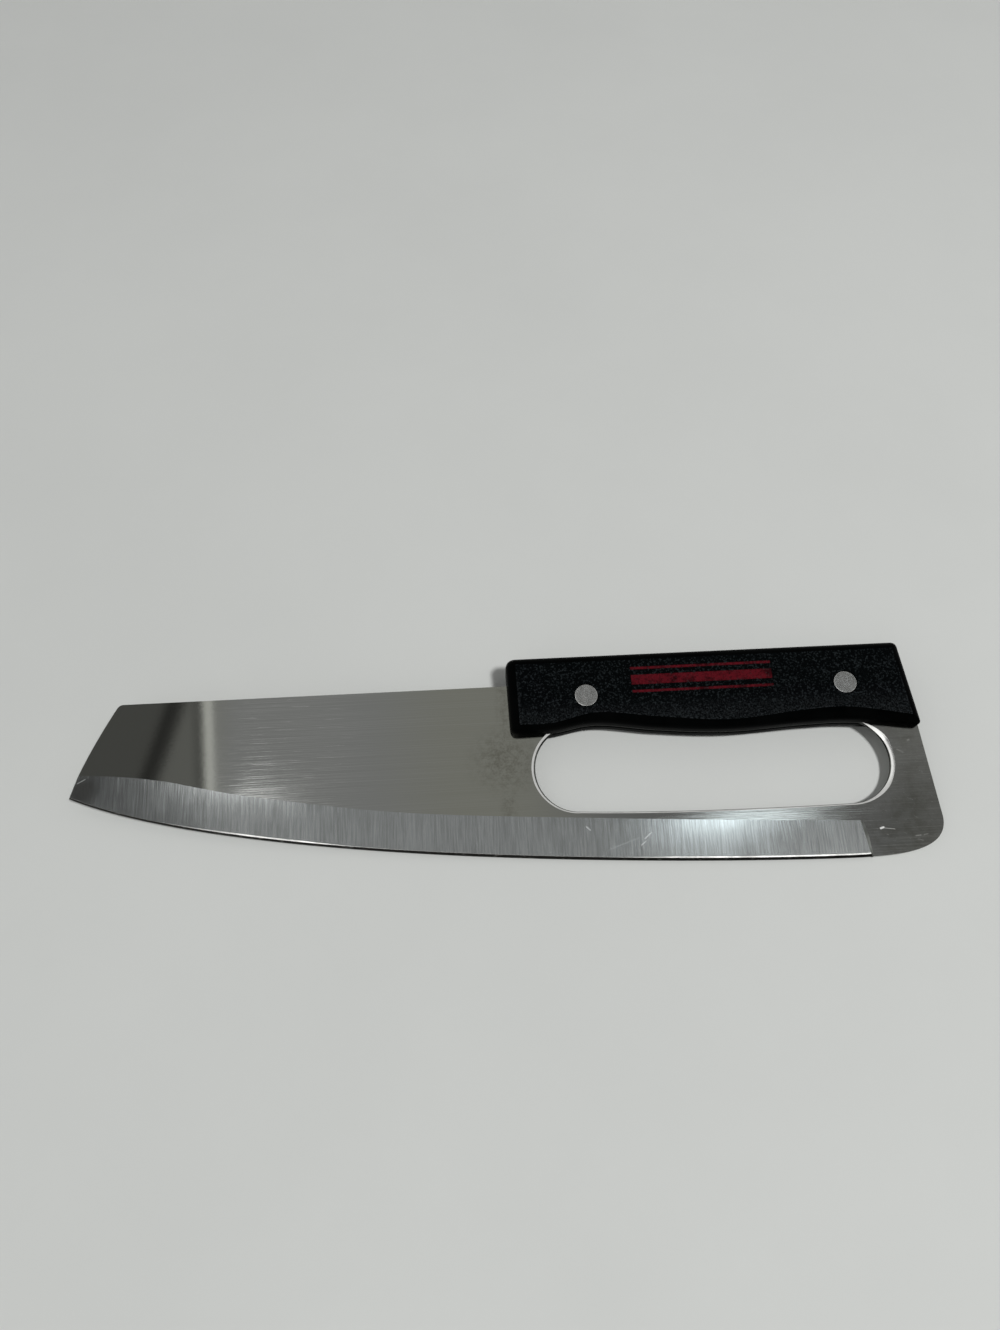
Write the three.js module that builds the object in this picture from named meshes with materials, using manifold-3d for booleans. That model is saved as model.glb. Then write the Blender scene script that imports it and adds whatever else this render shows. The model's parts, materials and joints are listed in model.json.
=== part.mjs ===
import * as THREE from 'three';
import { mergeVertices } from 'three/addons/utils/BufferGeometryUtils.js';
import Module from 'manifold-3d';

const wasm = await Module();
wasm.setup();

// Carving knife whose handle closes round the hand: one steel blank, two moulded scales, two rivets.
// It is drawn flat, in millimetres: x along the spine from the tip to the butt, y from the cutting edge
// up to the spine at y = 0, z out of the left side. At the end it is turned to the way it lies on a table.

const LENGTH = 300; // tip to heel
const PLATE = 1.8; // thickness of the steel blank
const GAP = 0.05; // clearance between pieces that bear on each other

// Blade profile
const TIP = point(-0.3, -33.4);
const TIP_BOW = point(4.3, -18.5); // control of the bowed, sloping tip
const SPINE_CORNER = point(14.4, 0);
const SPINE_CORNER_RADIUS = 2.6;
const EDGE = new THREE.CubicBezierCurve(TIP, point(69, -64), point(263, -68), point(272.5, -67.3));
const EDGE_STEPS = 56;
const HEEL_BACK = TIP.x + LENGTH;
const HEEL_FOOT = point(273.4, -67.5);
const HEEL_END = point(HEEL_BACK, -55);
const HEEL = new THREE.CubicBezierCurve(HEEL_FOOT, point(289, -66.6), point(HEEL_BACK, -64.2), HEEL_END);

// Ground bevel on both sides of the edge
const GRIND = new THREE.SplineCurve([
  point(-12, -25), point(12, -26.2), point(32, -29), point(62, -35.9), point(116, -44.4),
  point(182, -49.6), point(238, -53.2), point(276, -55.2),
]);
const MICRO_WIDTH = 0.7; // sharpening bevel along the edge
const MICRO_HALF = 0.2; // half thickness of the steel behind it
const EDGE_HALF = 0.04; // half thickness at the very edge

// Hand opening: two round ends, joined by a slight bow below and by the wavy grip above
const OPENING_FRONT = { x: 176.2, y: -31.6, wide: 15.05, high: 15.3, grip: 113 };
const OPENING_REAR = { x: 270.3, y: -33.5, wide: 15.15, high: 15.1, grip: 60 };
const OPENING_BOW = point(214, -49.3);
const RIM_WIDE = 1.2; // rounding of the opening's rim, along the face
const RIM_DEEP = 0.75; // and into the plate

// Handle
const HANDLE = 14.8; // thickness over both scales
const FRONT_TOP = point(152.7, 9.1);
const FRONT_LOW = point(153.3, -19.95);
const BUTT_TOP = point(294.65, 8.75);
const BUTT_LOW = point(297.85, -23.4);
const GRIP = new THREE.SplineCurve([
  FRONT_LOW, point(168, -18.1), point(184, -16.3), point(206, -19.2),
  point(230, -21), point(258, -19.8), point(275, -20.4), BUTT_LOW,
]);
const GRIP_STEPS = 32;
const ROUND_IN = 3.4; // width of the rounded border, seen on the face
const ROUND_DEEP = 3.6; // depth of the rounded border
const TANG_INSET = 0.25; // the tang lies this far inside the scales
const CORNER = { frontTop: 2.2, frontLow: 3, buttLow: 1.5, buttTop: 2.8 };

// Rivets: a headed sleeve from the left side, a headed pin from the right
const RIVETS = { front: point(180.6, -7.1), rear: point(272.6, -6.8) };
const HEAD_RADIUS = 4.1;
const HEAD_DEEP = 1.3;
const HEAD_SINK = 0.12; // heads lie just under the face
const SLEEVE_RADIUS = 2.5;
const PIN_RADIUS = 1.6;
const SLEEVE_WALL_GAP = 0.1;

// Lie on the table: on the two rounded lower corners of the right scale and on the foot of the heel
const REST_LEAN = Math.PI / 12; // where on the rounding of the scale the table touches

function point(x, y) {
  return new THREE.Vector2(x, y);
}

// Height of a sampled curve at x
function heightAt(samples, x) {
  const next = samples.findIndex((p, i) => i > 0 && p.x >= x);
  const a = samples[next - 1];
  const b = samples[next];
  return a.y + ((b.y - a.y) * (x - a.x)) / (b.x - a.x);
}

// Points that round the corner between two straight runs
function fillet(before, corner, after, radius, steps) {
  const back = before.clone().sub(corner).normalize();
  const on = after.clone().sub(corner).normalize();
  const reach = radius / Math.tan(Math.acos(back.dot(on)) / 2);
  const from = back.multiplyScalar(reach).add(corner);
  const to = on.multiplyScalar(reach).add(corner);
  return new THREE.QuadraticBezierCurve(from, corner, to).getPoints(steps);
}

// One round end of the opening, from one angle in degrees clockwise to another
function roundEnd(end, from, to, steps) {
  const [start, stop] = [from, to].map(THREE.MathUtils.degToRad);
  return new THREE.EllipseCurve(end.x, end.y, end.wide, end.high, start, stop, true).getPoints(steps);
}

// Solid of a flat outline, centred on the plane of the blade
function slab(outline, thickness, options = {}) {
  const deep = options.bevelThickness ?? 0;
  const depth = thickness - 2 * deep;
  const settings = { depth, bevelEnabled: deep > 0, ...options };
  const geometry = new THREE.ExtrudeGeometry(new THREE.Shape(outline), settings);
  geometry.translate(0, 0, -depth / 2);
  return toSolid(geometry);
}

function cylinder(centre, radius, low, high, steps) {
  const geometry = new THREE.CylinderGeometry(radius, radius, high - low, steps);
  geometry.rotateX(Math.PI / 2);
  geometry.translate(centre.x, centre.y, (high + low) / 2);
  return toSolid(geometry);
}

function toSolid(geometry) {
  geometry.deleteAttribute('normal');
  geometry.deleteAttribute('uv');
  const merged = mergeVertices(geometry, 1e-5);
  const index = merged.index.array;
  const triangles = [];
  for (let i = 0; i < index.length; i += 3) {
    const [a, b, c] = [index[i], index[i + 1], index[i + 2]];
    if (a !== b && b !== c && c !== a) triangles.push(a, b, c);
  }
  const vertProperties = new Float32Array(merged.attributes.position.array);
  const triVerts = new Uint32Array(triangles);
  return new wasm.Manifold(new wasm.Mesh({ numProp: 3, vertProperties, triVerts }));
}

function toPart(name, solid, material) {
  const mesh = solid.getMesh();
  const geometry = new THREE.BufferGeometry();
  geometry.setAttribute('position', new THREE.BufferAttribute(mesh.vertProperties, 3));
  geometry.setIndex(new THREE.BufferAttribute(mesh.triVerts, 1));
  geometry.computeVertexNormals();
  const part = new THREE.Mesh(geometry, new THREE.MeshStandardMaterial(material));
  part.name = name;
  return part;
}

function bladeOutline() {
  const buttTop = point(BUTT_TOP.x - TANG_INSET, BUTT_TOP.y - TANG_INSET);
  const shoulderTop = point(FRONT_LOW.x + 1, FRONT_TOP.y - TANG_INSET);
  const shoulderFoot = point(shoulderTop.x, 0);
  const tip = fillet(shoulderFoot, SPINE_CORNER, TIP_BOW, SPINE_CORNER_RADIUS, 6);
  const bow = new THREE.QuadraticBezierCurve(tip[6], TIP_BOW, TIP);
  return [
    ...EDGE.getPoints(EDGE_STEPS),
    ...HEEL.getPoints(18),
    BUTT_LOW,
    ...fillet(BUTT_LOW, buttTop, shoulderTop, CORNER.buttTop, 6),
    ...fillet(buttTop, shoulderTop, shoulderFoot, 2, 4),
    ...fillet(shoulderTop, shoulderFoot, SPINE_CORNER, 1.5, 4),
    ...tip,
    ...bow.getPoints(10).slice(1, -1),
  ];
}

function openingOutline() {
  const samples = GRIP.getPoints(120);
  const front = roundEnd(OPENING_FRONT, -90, OPENING_FRONT.grip - 360, 22);
  const rear = roundEnd(OPENING_REAR, OPENING_REAR.grip, -90, 22);
  const from = front[22].x;
  const span = rear[0].x - from;
  const bow = new THREE.QuadraticBezierCurve(rear[22], OPENING_BOW, front[0]).getPoints(14);
  const top = [];
  const steps = 30;
  for (let i = 1; i < steps; i++) {
    const x = from + (span * i) / steps;
    top.push(point(x, heightAt(samples, x) + TANG_INSET));
  }
  return [...front, ...top, ...rear, ...bow.slice(1, -1)];
}

// What the grinding wheel takes off one side: a strip that follows the edge, with two slopes
function grindCutter(side) {
  const start = -2; // runs out past the tip
  const strip = new THREE.BoxGeometry(1, 1, 1, EDGE_STEPS - start, 2, 1);
  const line = GRIND.getPoints(140);
  const clear = PLATE / 2 + 1;
  const position = strip.attributes.position;
  for (let i = 0; i < position.count; i++) {
    const along = start + (position.getX(i) + 0.5) * (EDGE_STEPS - start);
    const edge = EDGE.getPoint(along / EDGE_STEPS);
    const height = heightAt(line, edge.x) - edge.y;
    const slope = (PLATE / 2 - MICRO_HALF) / (height - MICRO_WIDTH);
    const microSlope = (MICRO_HALF - EDGE_HALF) / MICRO_WIDTH;
    const rise = [-0.12, MICRO_WIDTH, height + 0.4][Math.round(position.getY(i) * 2) + 1];
    const micro = EDGE_HALF + microSlope * rise;
    const primary = MICRO_HALF + slope * (rise - MICRO_WIDTH);
    const face = rise > MICRO_WIDTH ? primary : micro;
    const outer = position.getZ(i) > 0;
    position.setXYZ(i, edge.x, edge.y + rise, outer ? clear : face);
  }
  const solid = toSolid(strip);
  return side > 0 ? solid : solid.mirror([0, 0, 1]);
}

function makeBlade() {
  const rim = {
    bevelThickness: RIM_DEEP + 0.02, bevelSize: -RIM_WIDE, bevelOffset: RIM_WIDE, bevelSegments: 5,
  };
  let solid = slab(bladeOutline(), PLATE);
  solid = solid.subtract(slab(openingOutline(), PLATE + 0.04, rim));
  solid = solid.subtract(grindCutter(1)).subtract(grindCutter(-1));
  for (const centre of Object.values(RIVETS)) {
    solid = solid.subtract(cylinder(centre, SLEEVE_RADIUS + GAP, -PLATE, PLATE, 32));
  }
  return toPart('blade', solid, { color: 0xa3a5a4, metalness: 1, roughness: 0.32 });
}

function scaleOutline(rounded) {
  const grip = GRIP.getSpacedPoints(GRIP_STEPS);
  const low = grip[0];
  const butt = grip[GRIP_STEPS];
  if (!rounded) return [FRONT_TOP, ...grip, BUTT_TOP];
  return [
    ...fillet(BUTT_TOP, FRONT_TOP, low, CORNER.frontTop, 5),
    ...fillet(FRONT_TOP, low, grip[1], CORNER.frontLow, 5),
    ...grip.slice(1, -1),
    ...fillet(grip[GRIP_STEPS - 1], butt, BUTT_TOP, CORNER.buttLow, 4),
    ...fillet(butt, BUTT_TOP, FRONT_TOP, CORNER.buttTop, 5),
  ];
}

// Both scales as one rounded billet, from which each side is taken
function handleBillet() {
  const border = {
    bevelThickness: ROUND_DEEP, bevelSize: ROUND_IN, bevelOffset: -ROUND_IN, bevelSegments: 6,
  };
  const body = slab(scaleOutline(false), HANDLE, border);
  return body.intersect(slab(scaleOutline(true), HANDLE + 2));
}

function makeScale(name, side) {
  const reach = 20;
  const half = new THREE.BoxGeometry(2 * LENGTH, LENGTH, reach);
  half.translate(LENGTH / 2, 0, side * (reach / 2 + PLATE / 2 + GAP));
  let solid = handleBillet().intersect(toSolid(half));
  const seat = HANDLE / 2 - HEAD_SINK - HEAD_DEEP - GAP;
  for (const centre of Object.values(RIVETS)) {
    const low = side > 0 ? seat : -reach;
    const high = side > 0 ? reach : -seat;
    solid = solid.subtract(cylinder(centre, HEAD_RADIUS + GAP, low, high, 40));
    solid = solid.subtract(cylinder(centre, SLEEVE_RADIUS + GAP, -reach, reach, 32));
  }
  return toPart(name, solid, { color: 0x17181a, metalness: 0, roughness: 0.5 });
}

// Turns a half profile (radius, height) about the rivet's axis and sets it in the handle
function turned(name, profile, centre, side, material) {
  const geometry = new THREE.LatheGeometry(profile.map(([r, z]) => point(r, z)), 40);
  geometry.rotateX(Math.PI / 2);
  if (side < 0) geometry.rotateX(Math.PI);
  geometry.translate(centre.x, centre.y, 0);
  return toPart(name, toSolid(geometry), material);
}

const RIVET_METAL = { color: 0xbdbebc, metalness: 1, roughness: 0.45 };
const HEAD_TOP = HANDLE / 2 - HEAD_SINK;
const HEAD_FOOT = HEAD_TOP - HEAD_DEEP;

function makeSleeve(name, centre) {
  const bore = PIN_RADIUS + SLEEVE_WALL_GAP;
  const end = -HEAD_FOOT + 0.6;
  const profile = [
    [0, HEAD_FOOT - 1], [bore, HEAD_FOOT - 1], [bore, end], [SLEEVE_RADIUS, end],
    [SLEEVE_RADIUS, HEAD_FOOT], [HEAD_RADIUS, HEAD_FOOT], [HEAD_RADIUS, HEAD_TOP - 0.3],
    [HEAD_RADIUS - 0.3, HEAD_TOP], [0, HEAD_TOP],
  ];
  return turned(name, profile, centre, 1, RIVET_METAL);
}

function makePin(name, centre) {
  const end = -HEAD_FOOT + 2.5;
  const profile = [
    [0, end], [PIN_RADIUS - 0.4, end], [PIN_RADIUS, end + 0.6], [PIN_RADIUS, HEAD_FOOT],
    [HEAD_RADIUS, HEAD_FOOT], [HEAD_RADIUS, HEAD_TOP - 0.3], [HEAD_RADIUS - 0.3, HEAD_TOP], [0, HEAD_TOP],
  ];
  return turned(name, profile, centre, -1, RIVET_METAL);
}

// Turn that lays the knife on the corners of its right scale and on its heel
function restTurn() {
  const inward = ROUND_IN * (1 - Math.sin(REST_LEAN));
  const deep = HANDLE / 2 - ROUND_DEEP * (1 - Math.cos(REST_LEAN));
  const low = GRIP.getPoint(0);
  const butt = GRIP.getPoint(1);
  const front = new THREE.Vector3(low.x + inward, low.y + inward, -deep);
  const rear = new THREE.Vector3(butt.x - inward, butt.y + inward, -deep);
  const heel = new THREE.Vector3(HEEL_FOOT.x, HEEL_FOOT.y, -PLATE / 2);
  const up = rear.sub(heel).cross(front.sub(heel)).normalize();
  return new THREE.Quaternion().setFromUnitVectors(up, new THREE.Vector3(0, 0, 1));
}

function makeKnife() {
  const lying = new THREE.Group();
  lying.name = 'lying_knife';
  lying.add(makeBlade(), makeScale('left_scale', 1), makeScale('right_scale', -1));
  for (const [place, centre] of Object.entries(RIVETS)) {
    lying.add(makeSleeve(`${place}_rivet_sleeve`, centre), makePin(`${place}_rivet_pin`, centre));
  }
  lying.quaternion.copy(restTurn());
  const knife = new THREE.Group();
  knife.name = 'carving_knife';
  knife.add(lying);
  knife.updateMatrixWorld(true);
  const box = new THREE.Box3().setFromObject(knife, true);
  const middle = box.getCenter(new THREE.Vector3());
  lying.position.set(-middle.x, -middle.y, -box.min.z);
  knife.updateMatrixWorld(true);
  return knife;
}

export default makeKnife();
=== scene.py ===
"""Carving knife whose handle closes round the hand: ground steel blank, pebbled scales, two rivets.

Every piece is drawn flat in millimetres (x from tip to butt, y up to the spine, z out of the left
side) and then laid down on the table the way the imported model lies.
"""
import json
import logging
from bisect import bisect_left
from dataclasses import dataclass, field
from enum import Enum, IntEnum
from functools import partial
from math import acos, cos, pi, radians, sin, tan
from random import Random
from typing import Any, NamedTuple, Sequence

import bmesh
import bpy
from bmesh.types import BMEdge, BMFace, BMesh, BMVert
from bpy.types import Material, Node, NodeSocket, NodeTree, Object
from mathutils import Matrix, Vector


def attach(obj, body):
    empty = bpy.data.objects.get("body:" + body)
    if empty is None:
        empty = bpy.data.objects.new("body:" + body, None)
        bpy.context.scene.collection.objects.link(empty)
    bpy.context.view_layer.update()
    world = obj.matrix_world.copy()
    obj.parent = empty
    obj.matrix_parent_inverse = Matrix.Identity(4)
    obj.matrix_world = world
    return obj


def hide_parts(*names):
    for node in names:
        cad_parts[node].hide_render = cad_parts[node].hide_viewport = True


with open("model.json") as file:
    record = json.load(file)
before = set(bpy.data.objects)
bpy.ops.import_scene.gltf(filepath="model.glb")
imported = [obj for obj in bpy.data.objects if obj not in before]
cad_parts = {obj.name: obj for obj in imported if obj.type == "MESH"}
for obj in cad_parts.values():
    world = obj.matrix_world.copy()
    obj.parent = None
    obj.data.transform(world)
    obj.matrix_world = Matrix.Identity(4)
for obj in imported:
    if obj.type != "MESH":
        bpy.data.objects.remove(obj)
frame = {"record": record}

LOG = logging.getLogger("carving_knife")
MM = 0.001
BODY = "root"
RIDGE = "ridge"
WELD = 1e-4
LEVEL_NORMAL = 0.99999
SPLINE_PULL = 6

Point = tuple[float, float]
Triple = tuple[float, float, float]
Colour = tuple[float, float, float]


class Side(Enum):
    """Which side of the blade a scale or a rivet head lies on."""

    LEFT = 1
    RIGHT = -1


class Place(Enum):
    """Which end of the handle a rivet holds."""

    FRONT = "front"
    REAR = "rear"


class BladeFinish(IntEnum):
    """Order of the finishes on the blade."""

    FLAT = 0
    BEVEL = 1
    RIM = 2
    WALL = 3
    WHETTED = 4


class ScaleFinish(IntEnum):
    """Order of the finishes on a scale."""

    FACE = 0
    BORDER = 1


class Fade(NamedTuple):
    """A soft change along a value: where it starts and is done, and the results at both ends."""

    low: float
    high: float
    start: float = 0.0
    end: float = 1.0


class Band(NamedTuple):
    """A range of a value, with the softness of its two ends."""

    low: float
    high: float
    soft: float


class Grain(NamedTuple):
    """A noise: its cells to a unit, how many finer layers lie on them, and how strong those are."""

    scale: float = 1.0
    detail: float = 3.0
    rough: float = 0.55


class Scratches(NamedTuple):
    """Scratches that lie one way: their angle, how close they are each way, and how many there are."""

    turn: float
    pitch: Triple
    amount: float


class Nick(NamedTuple):
    """A short bright nick in the steel, in drawn millimetres."""

    start: Point
    end: Point
    width: float
    strength: float = 1.0


def flat(point: Point, height: float = 0.0) -> Vector:
    """A drawn point lifted to a height above the middle of the plate."""
    return Vector((point[0], point[1], height))


def lifted(points: Sequence[Vector], height: float) -> list[Vector]:
    """The same plan points at one height."""
    return [Vector((p.x, p.y, height)) for p in points]


def bezier(controls: Sequence[Vector], steps: int) -> list[Vector]:
    """Samples a Bezier curve of any degree.

    Args:
        controls: Control points, ends included.
        steps: Number of equal parameter steps.

    Returns:
        steps + 1 points along the curve.
    """
    points = []
    for step in range(steps + 1):
        level = list(controls)
        while len(level) > 1:
            level = [a.lerp(b, step / steps) for a, b in zip(level, level[1:])]
        points.append(level[0])
    return points


def spline(knots: Sequence[Point], steps: int) -> list[Vector]:
    """Samples a smooth curve that passes through every knot.

    Args:
        knots: Points that the curve passes through.
        steps: Samples between two knots.

    Returns:
        Points along the curve, both ends included.
    """
    pins = [flat(knot) for knot in knots]
    padded = [pins[0], *pins, pins[-1]]
    points = []
    for before, start, end, after in zip(padded, padded[1:], padded[2:], padded[3:]):
        lead = start + (end - before) / SPLINE_PULL
        trail = end - (after - start) / SPLINE_PULL
        points += bezier((start, lead, trail, end), steps)[:-1]
    return [*points, pins[-1]]


def height_at(curve: Sequence[Vector], x: float) -> float:
    """Height of a curve that runs from left to right.

    Args:
        curve: Points in order of x.
        x: Where to read it; beyond the ends, the end span runs on.

    Returns:
        The y of the curve at x.
    """
    spot = bisect_left([p.x for p in curve], x)
    spot = min(max(spot, 1), len(curve) - 1)
    a, b = curve[spot - 1], curve[spot]
    return a.y + (b.y - a.y) * (x - a.x) / (b.x - a.x)


def fillet(before: Vector, corner: Vector, after: Vector, radius: float, steps: int) -> list[Vector]:
    """Rounds the corner between two runs of an outline.

    Args:
        before: A point on the run that comes in.
        corner: The sharp corner.
        after: A point on the run that goes out.
        radius: Radius of the rounding.
        steps: Number of steps round it.

    Returns:
        steps + 1 points from one run to the other.
    """
    back = (before - corner).normalized()
    on = (after - corner).normalized()
    reach = radius / tan(acos(back.dot(on)) / 2)
    return bezier((corner + back * reach, corner, corner + on * reach), steps)


def circle(centre: Vector, radius: float, height: float, steps: int) -> list[Vector]:
    """Points round a level circle."""
    turns = [2 * pi * i / steps for i in range(steps)]
    return [Vector((centre.x + radius * cos(a), centre.y + radius * sin(a), height)) for a in turns]


def outward(ring: Sequence[Vector], reach: Sequence[float]) -> list[Vector]:
    """Pushes each point of a clockwise ring away from its inside.

    Args:
        ring: Closed outline, clockwise in plan.
        reach: How far each point moves.

    Returns:
        The moved points, in the same order.
    """
    moved = []
    for i, spot in enumerate(ring):
        run = (ring[(i + 1) % len(ring)] - ring[i - 1]).normalized()
        moved.append(spot + Vector((-run.y, run.x, 0)) * reach[i])
    return moved


def finished(made: Sequence[Any], finish: int) -> list[BMFace]:
    """Gives the faces among new parts of a mesh their finish.

    Args:
        made: What an operator has made.
        finish: Material index for its faces.

    Returns:
        The faces.
    """
    faces = [item for item in made if isinstance(item, BMFace)]
    for face in faces:
        face.material_index = finish
    return faces


class Loft:
    """A row of vertices that is drawn out, step by step, into a skin."""

    def __init__(self, mesh: BMesh, row: Sequence[Vector | BMVert], closed: bool) -> None:
        """Starts a skin.

        Args:
            mesh: Mesh that receives it.
            row: First row, as places or as vertices that are there already.
            closed: Whether the row's last point joins its first.
        """
        self.mesh = mesh
        self.closed = closed
        self.row = [v if isinstance(v, BMVert) else mesh.verts.new(v) for v in row]

    def edges(self) -> list[BMEdge]:
        """Finds the edges along the present row and makes those that are missing.

        Returns:
            The edges in order.
        """
        onward = self.row[1:] + self.row[:1] if self.closed else self.row[1:]
        pairs = list(zip(self.row, onward))
        return [self.mesh.edges.get(pair) or self.mesh.edges.new(pair) for pair in pairs]

    def draw(self, places: Sequence[Vector], finish: int = 0) -> list[BMFace]:
        """Extrudes the row to new places and goes on from there.

        Args:
            places: Where each vertex of the row ends up.
            finish: Material index of the new faces.

        Returns:
            The new faces.
        """
        made = bmesh.ops.extrude_edge_only(self.mesh, edges=self.edges())["geom"]
        fresh = {item for item in made if isinstance(item, BMVert)}
        self.row = [
            next(e.other_vert(v) for e in v.link_edges if e.other_vert(v) in fresh) for v in self.row
        ]
        for vert, place in zip(self.row, places):
            vert.co = place
        return finished(made, finish)


def fill(mesh: BMesh, edges: Sequence[BMEdge], finish: int) -> None:
    """Fills a level outline and leaves its holes open.

    Args:
        mesh: Mesh that holds the edges.
        edges: Outline and holes, each a closed run.
        finish: Material index of the new faces.
    """
    made = bmesh.ops.triangle_fill(mesh, use_beauty=True, edges=edges, normal=(0, 0, 1))["geom"]
    finished(made, finish)


def crease(mesh: BMesh, angle: float) -> None:
    """Shades a mesh smooth, with a hard line at corners, round level faces and between finishes.

    Args:
        mesh: Mesh to shade.
        angle: Smallest corner, in radians, that stays hard.
    """
    for face in mesh.faces:
        face.smooth = True
    for edge in mesh.edges:
        finishes = {face.material_index for face in edge.link_faces}
        level = {abs(face.normal.z) > LEVEL_NORMAL for face in edge.link_faces}
        edge.smooth = edge.calc_face_angle(pi) < angle and len(finishes) == len(level) == 1


@dataclass(frozen=True)
class Plan:
    """Drawn sizes that several pieces share, in millimetres."""

    plate: float = 1.8
    gap: float = 0.05
    handle: float = 14.8
    front_top: Point = (152.7, 9.1)
    front_low: Point = (153.3, -19.2)
    butt_top: Point = (294.65, 8.75)
    butt_low: Point = (297.78, -22.7)
    grip: tuple[Point, ...] = (
        (153.3, -19.2), (168, -18.6), (184, -16.3), (206, -19.2),
        (230, -21), (258, -19.8), (275, -19.85), (297.78, -22.7),
    )
    grip_steps: int = 24
    tang_inset: float = 0.25
    front_rivet: Point = (180.6, -7.1)
    rear_rivet: Point = (272.6, -6.8)
    shank_radius: float = 2.5
    head_radius: float = 4.1
    head_deep: float = 1.3
    head_sink: float = 0.12
    pin_radius: float = 1.6

    @property
    def half(self) -> float:
        """Half the thickness of the plate."""
        return self.plate / 2

    @property
    def face(self) -> float:
        """Height of a scale's flat face above the middle of the plate."""
        return self.handle / 2

    @property
    def rivets(self) -> list[Vector]:
        """Both rivet places."""
        return [flat(self.front_rivet), flat(self.rear_rivet)]

    def grip_line(self) -> list[Vector]:
        """The wavy underside of the handle."""
        return spline(self.grip, self.grip_steps)


@dataclass(frozen=True)
class Lie:
    """How the drawn knife lies on the table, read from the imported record."""

    drawn_spot: Vector = field(default_factory=lambda: Vector((226.0, -6.0, 7.4)))
    mount: str = "left_face"

    def matrix(self) -> Matrix:
        """Turns drawn millimetres into places in the frame.

        Returns:
            The matrix that carries the drawn spot to the mount on the left scale.
        """
        mounts = {mount["name"]: mount for mount in frame["record"]["mounts"]}
        mount = mounts[self.mount]
        turn = Vector((0, 0, 1)).rotation_difference(Vector(mount["axis"])).to_matrix().to_4x4()
        turn = turn @ Matrix.Scale(MM, 4)
        return Matrix.Translation(Vector(mount["pos_m"]) - turn @ self.drawn_spot) @ turn


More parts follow.
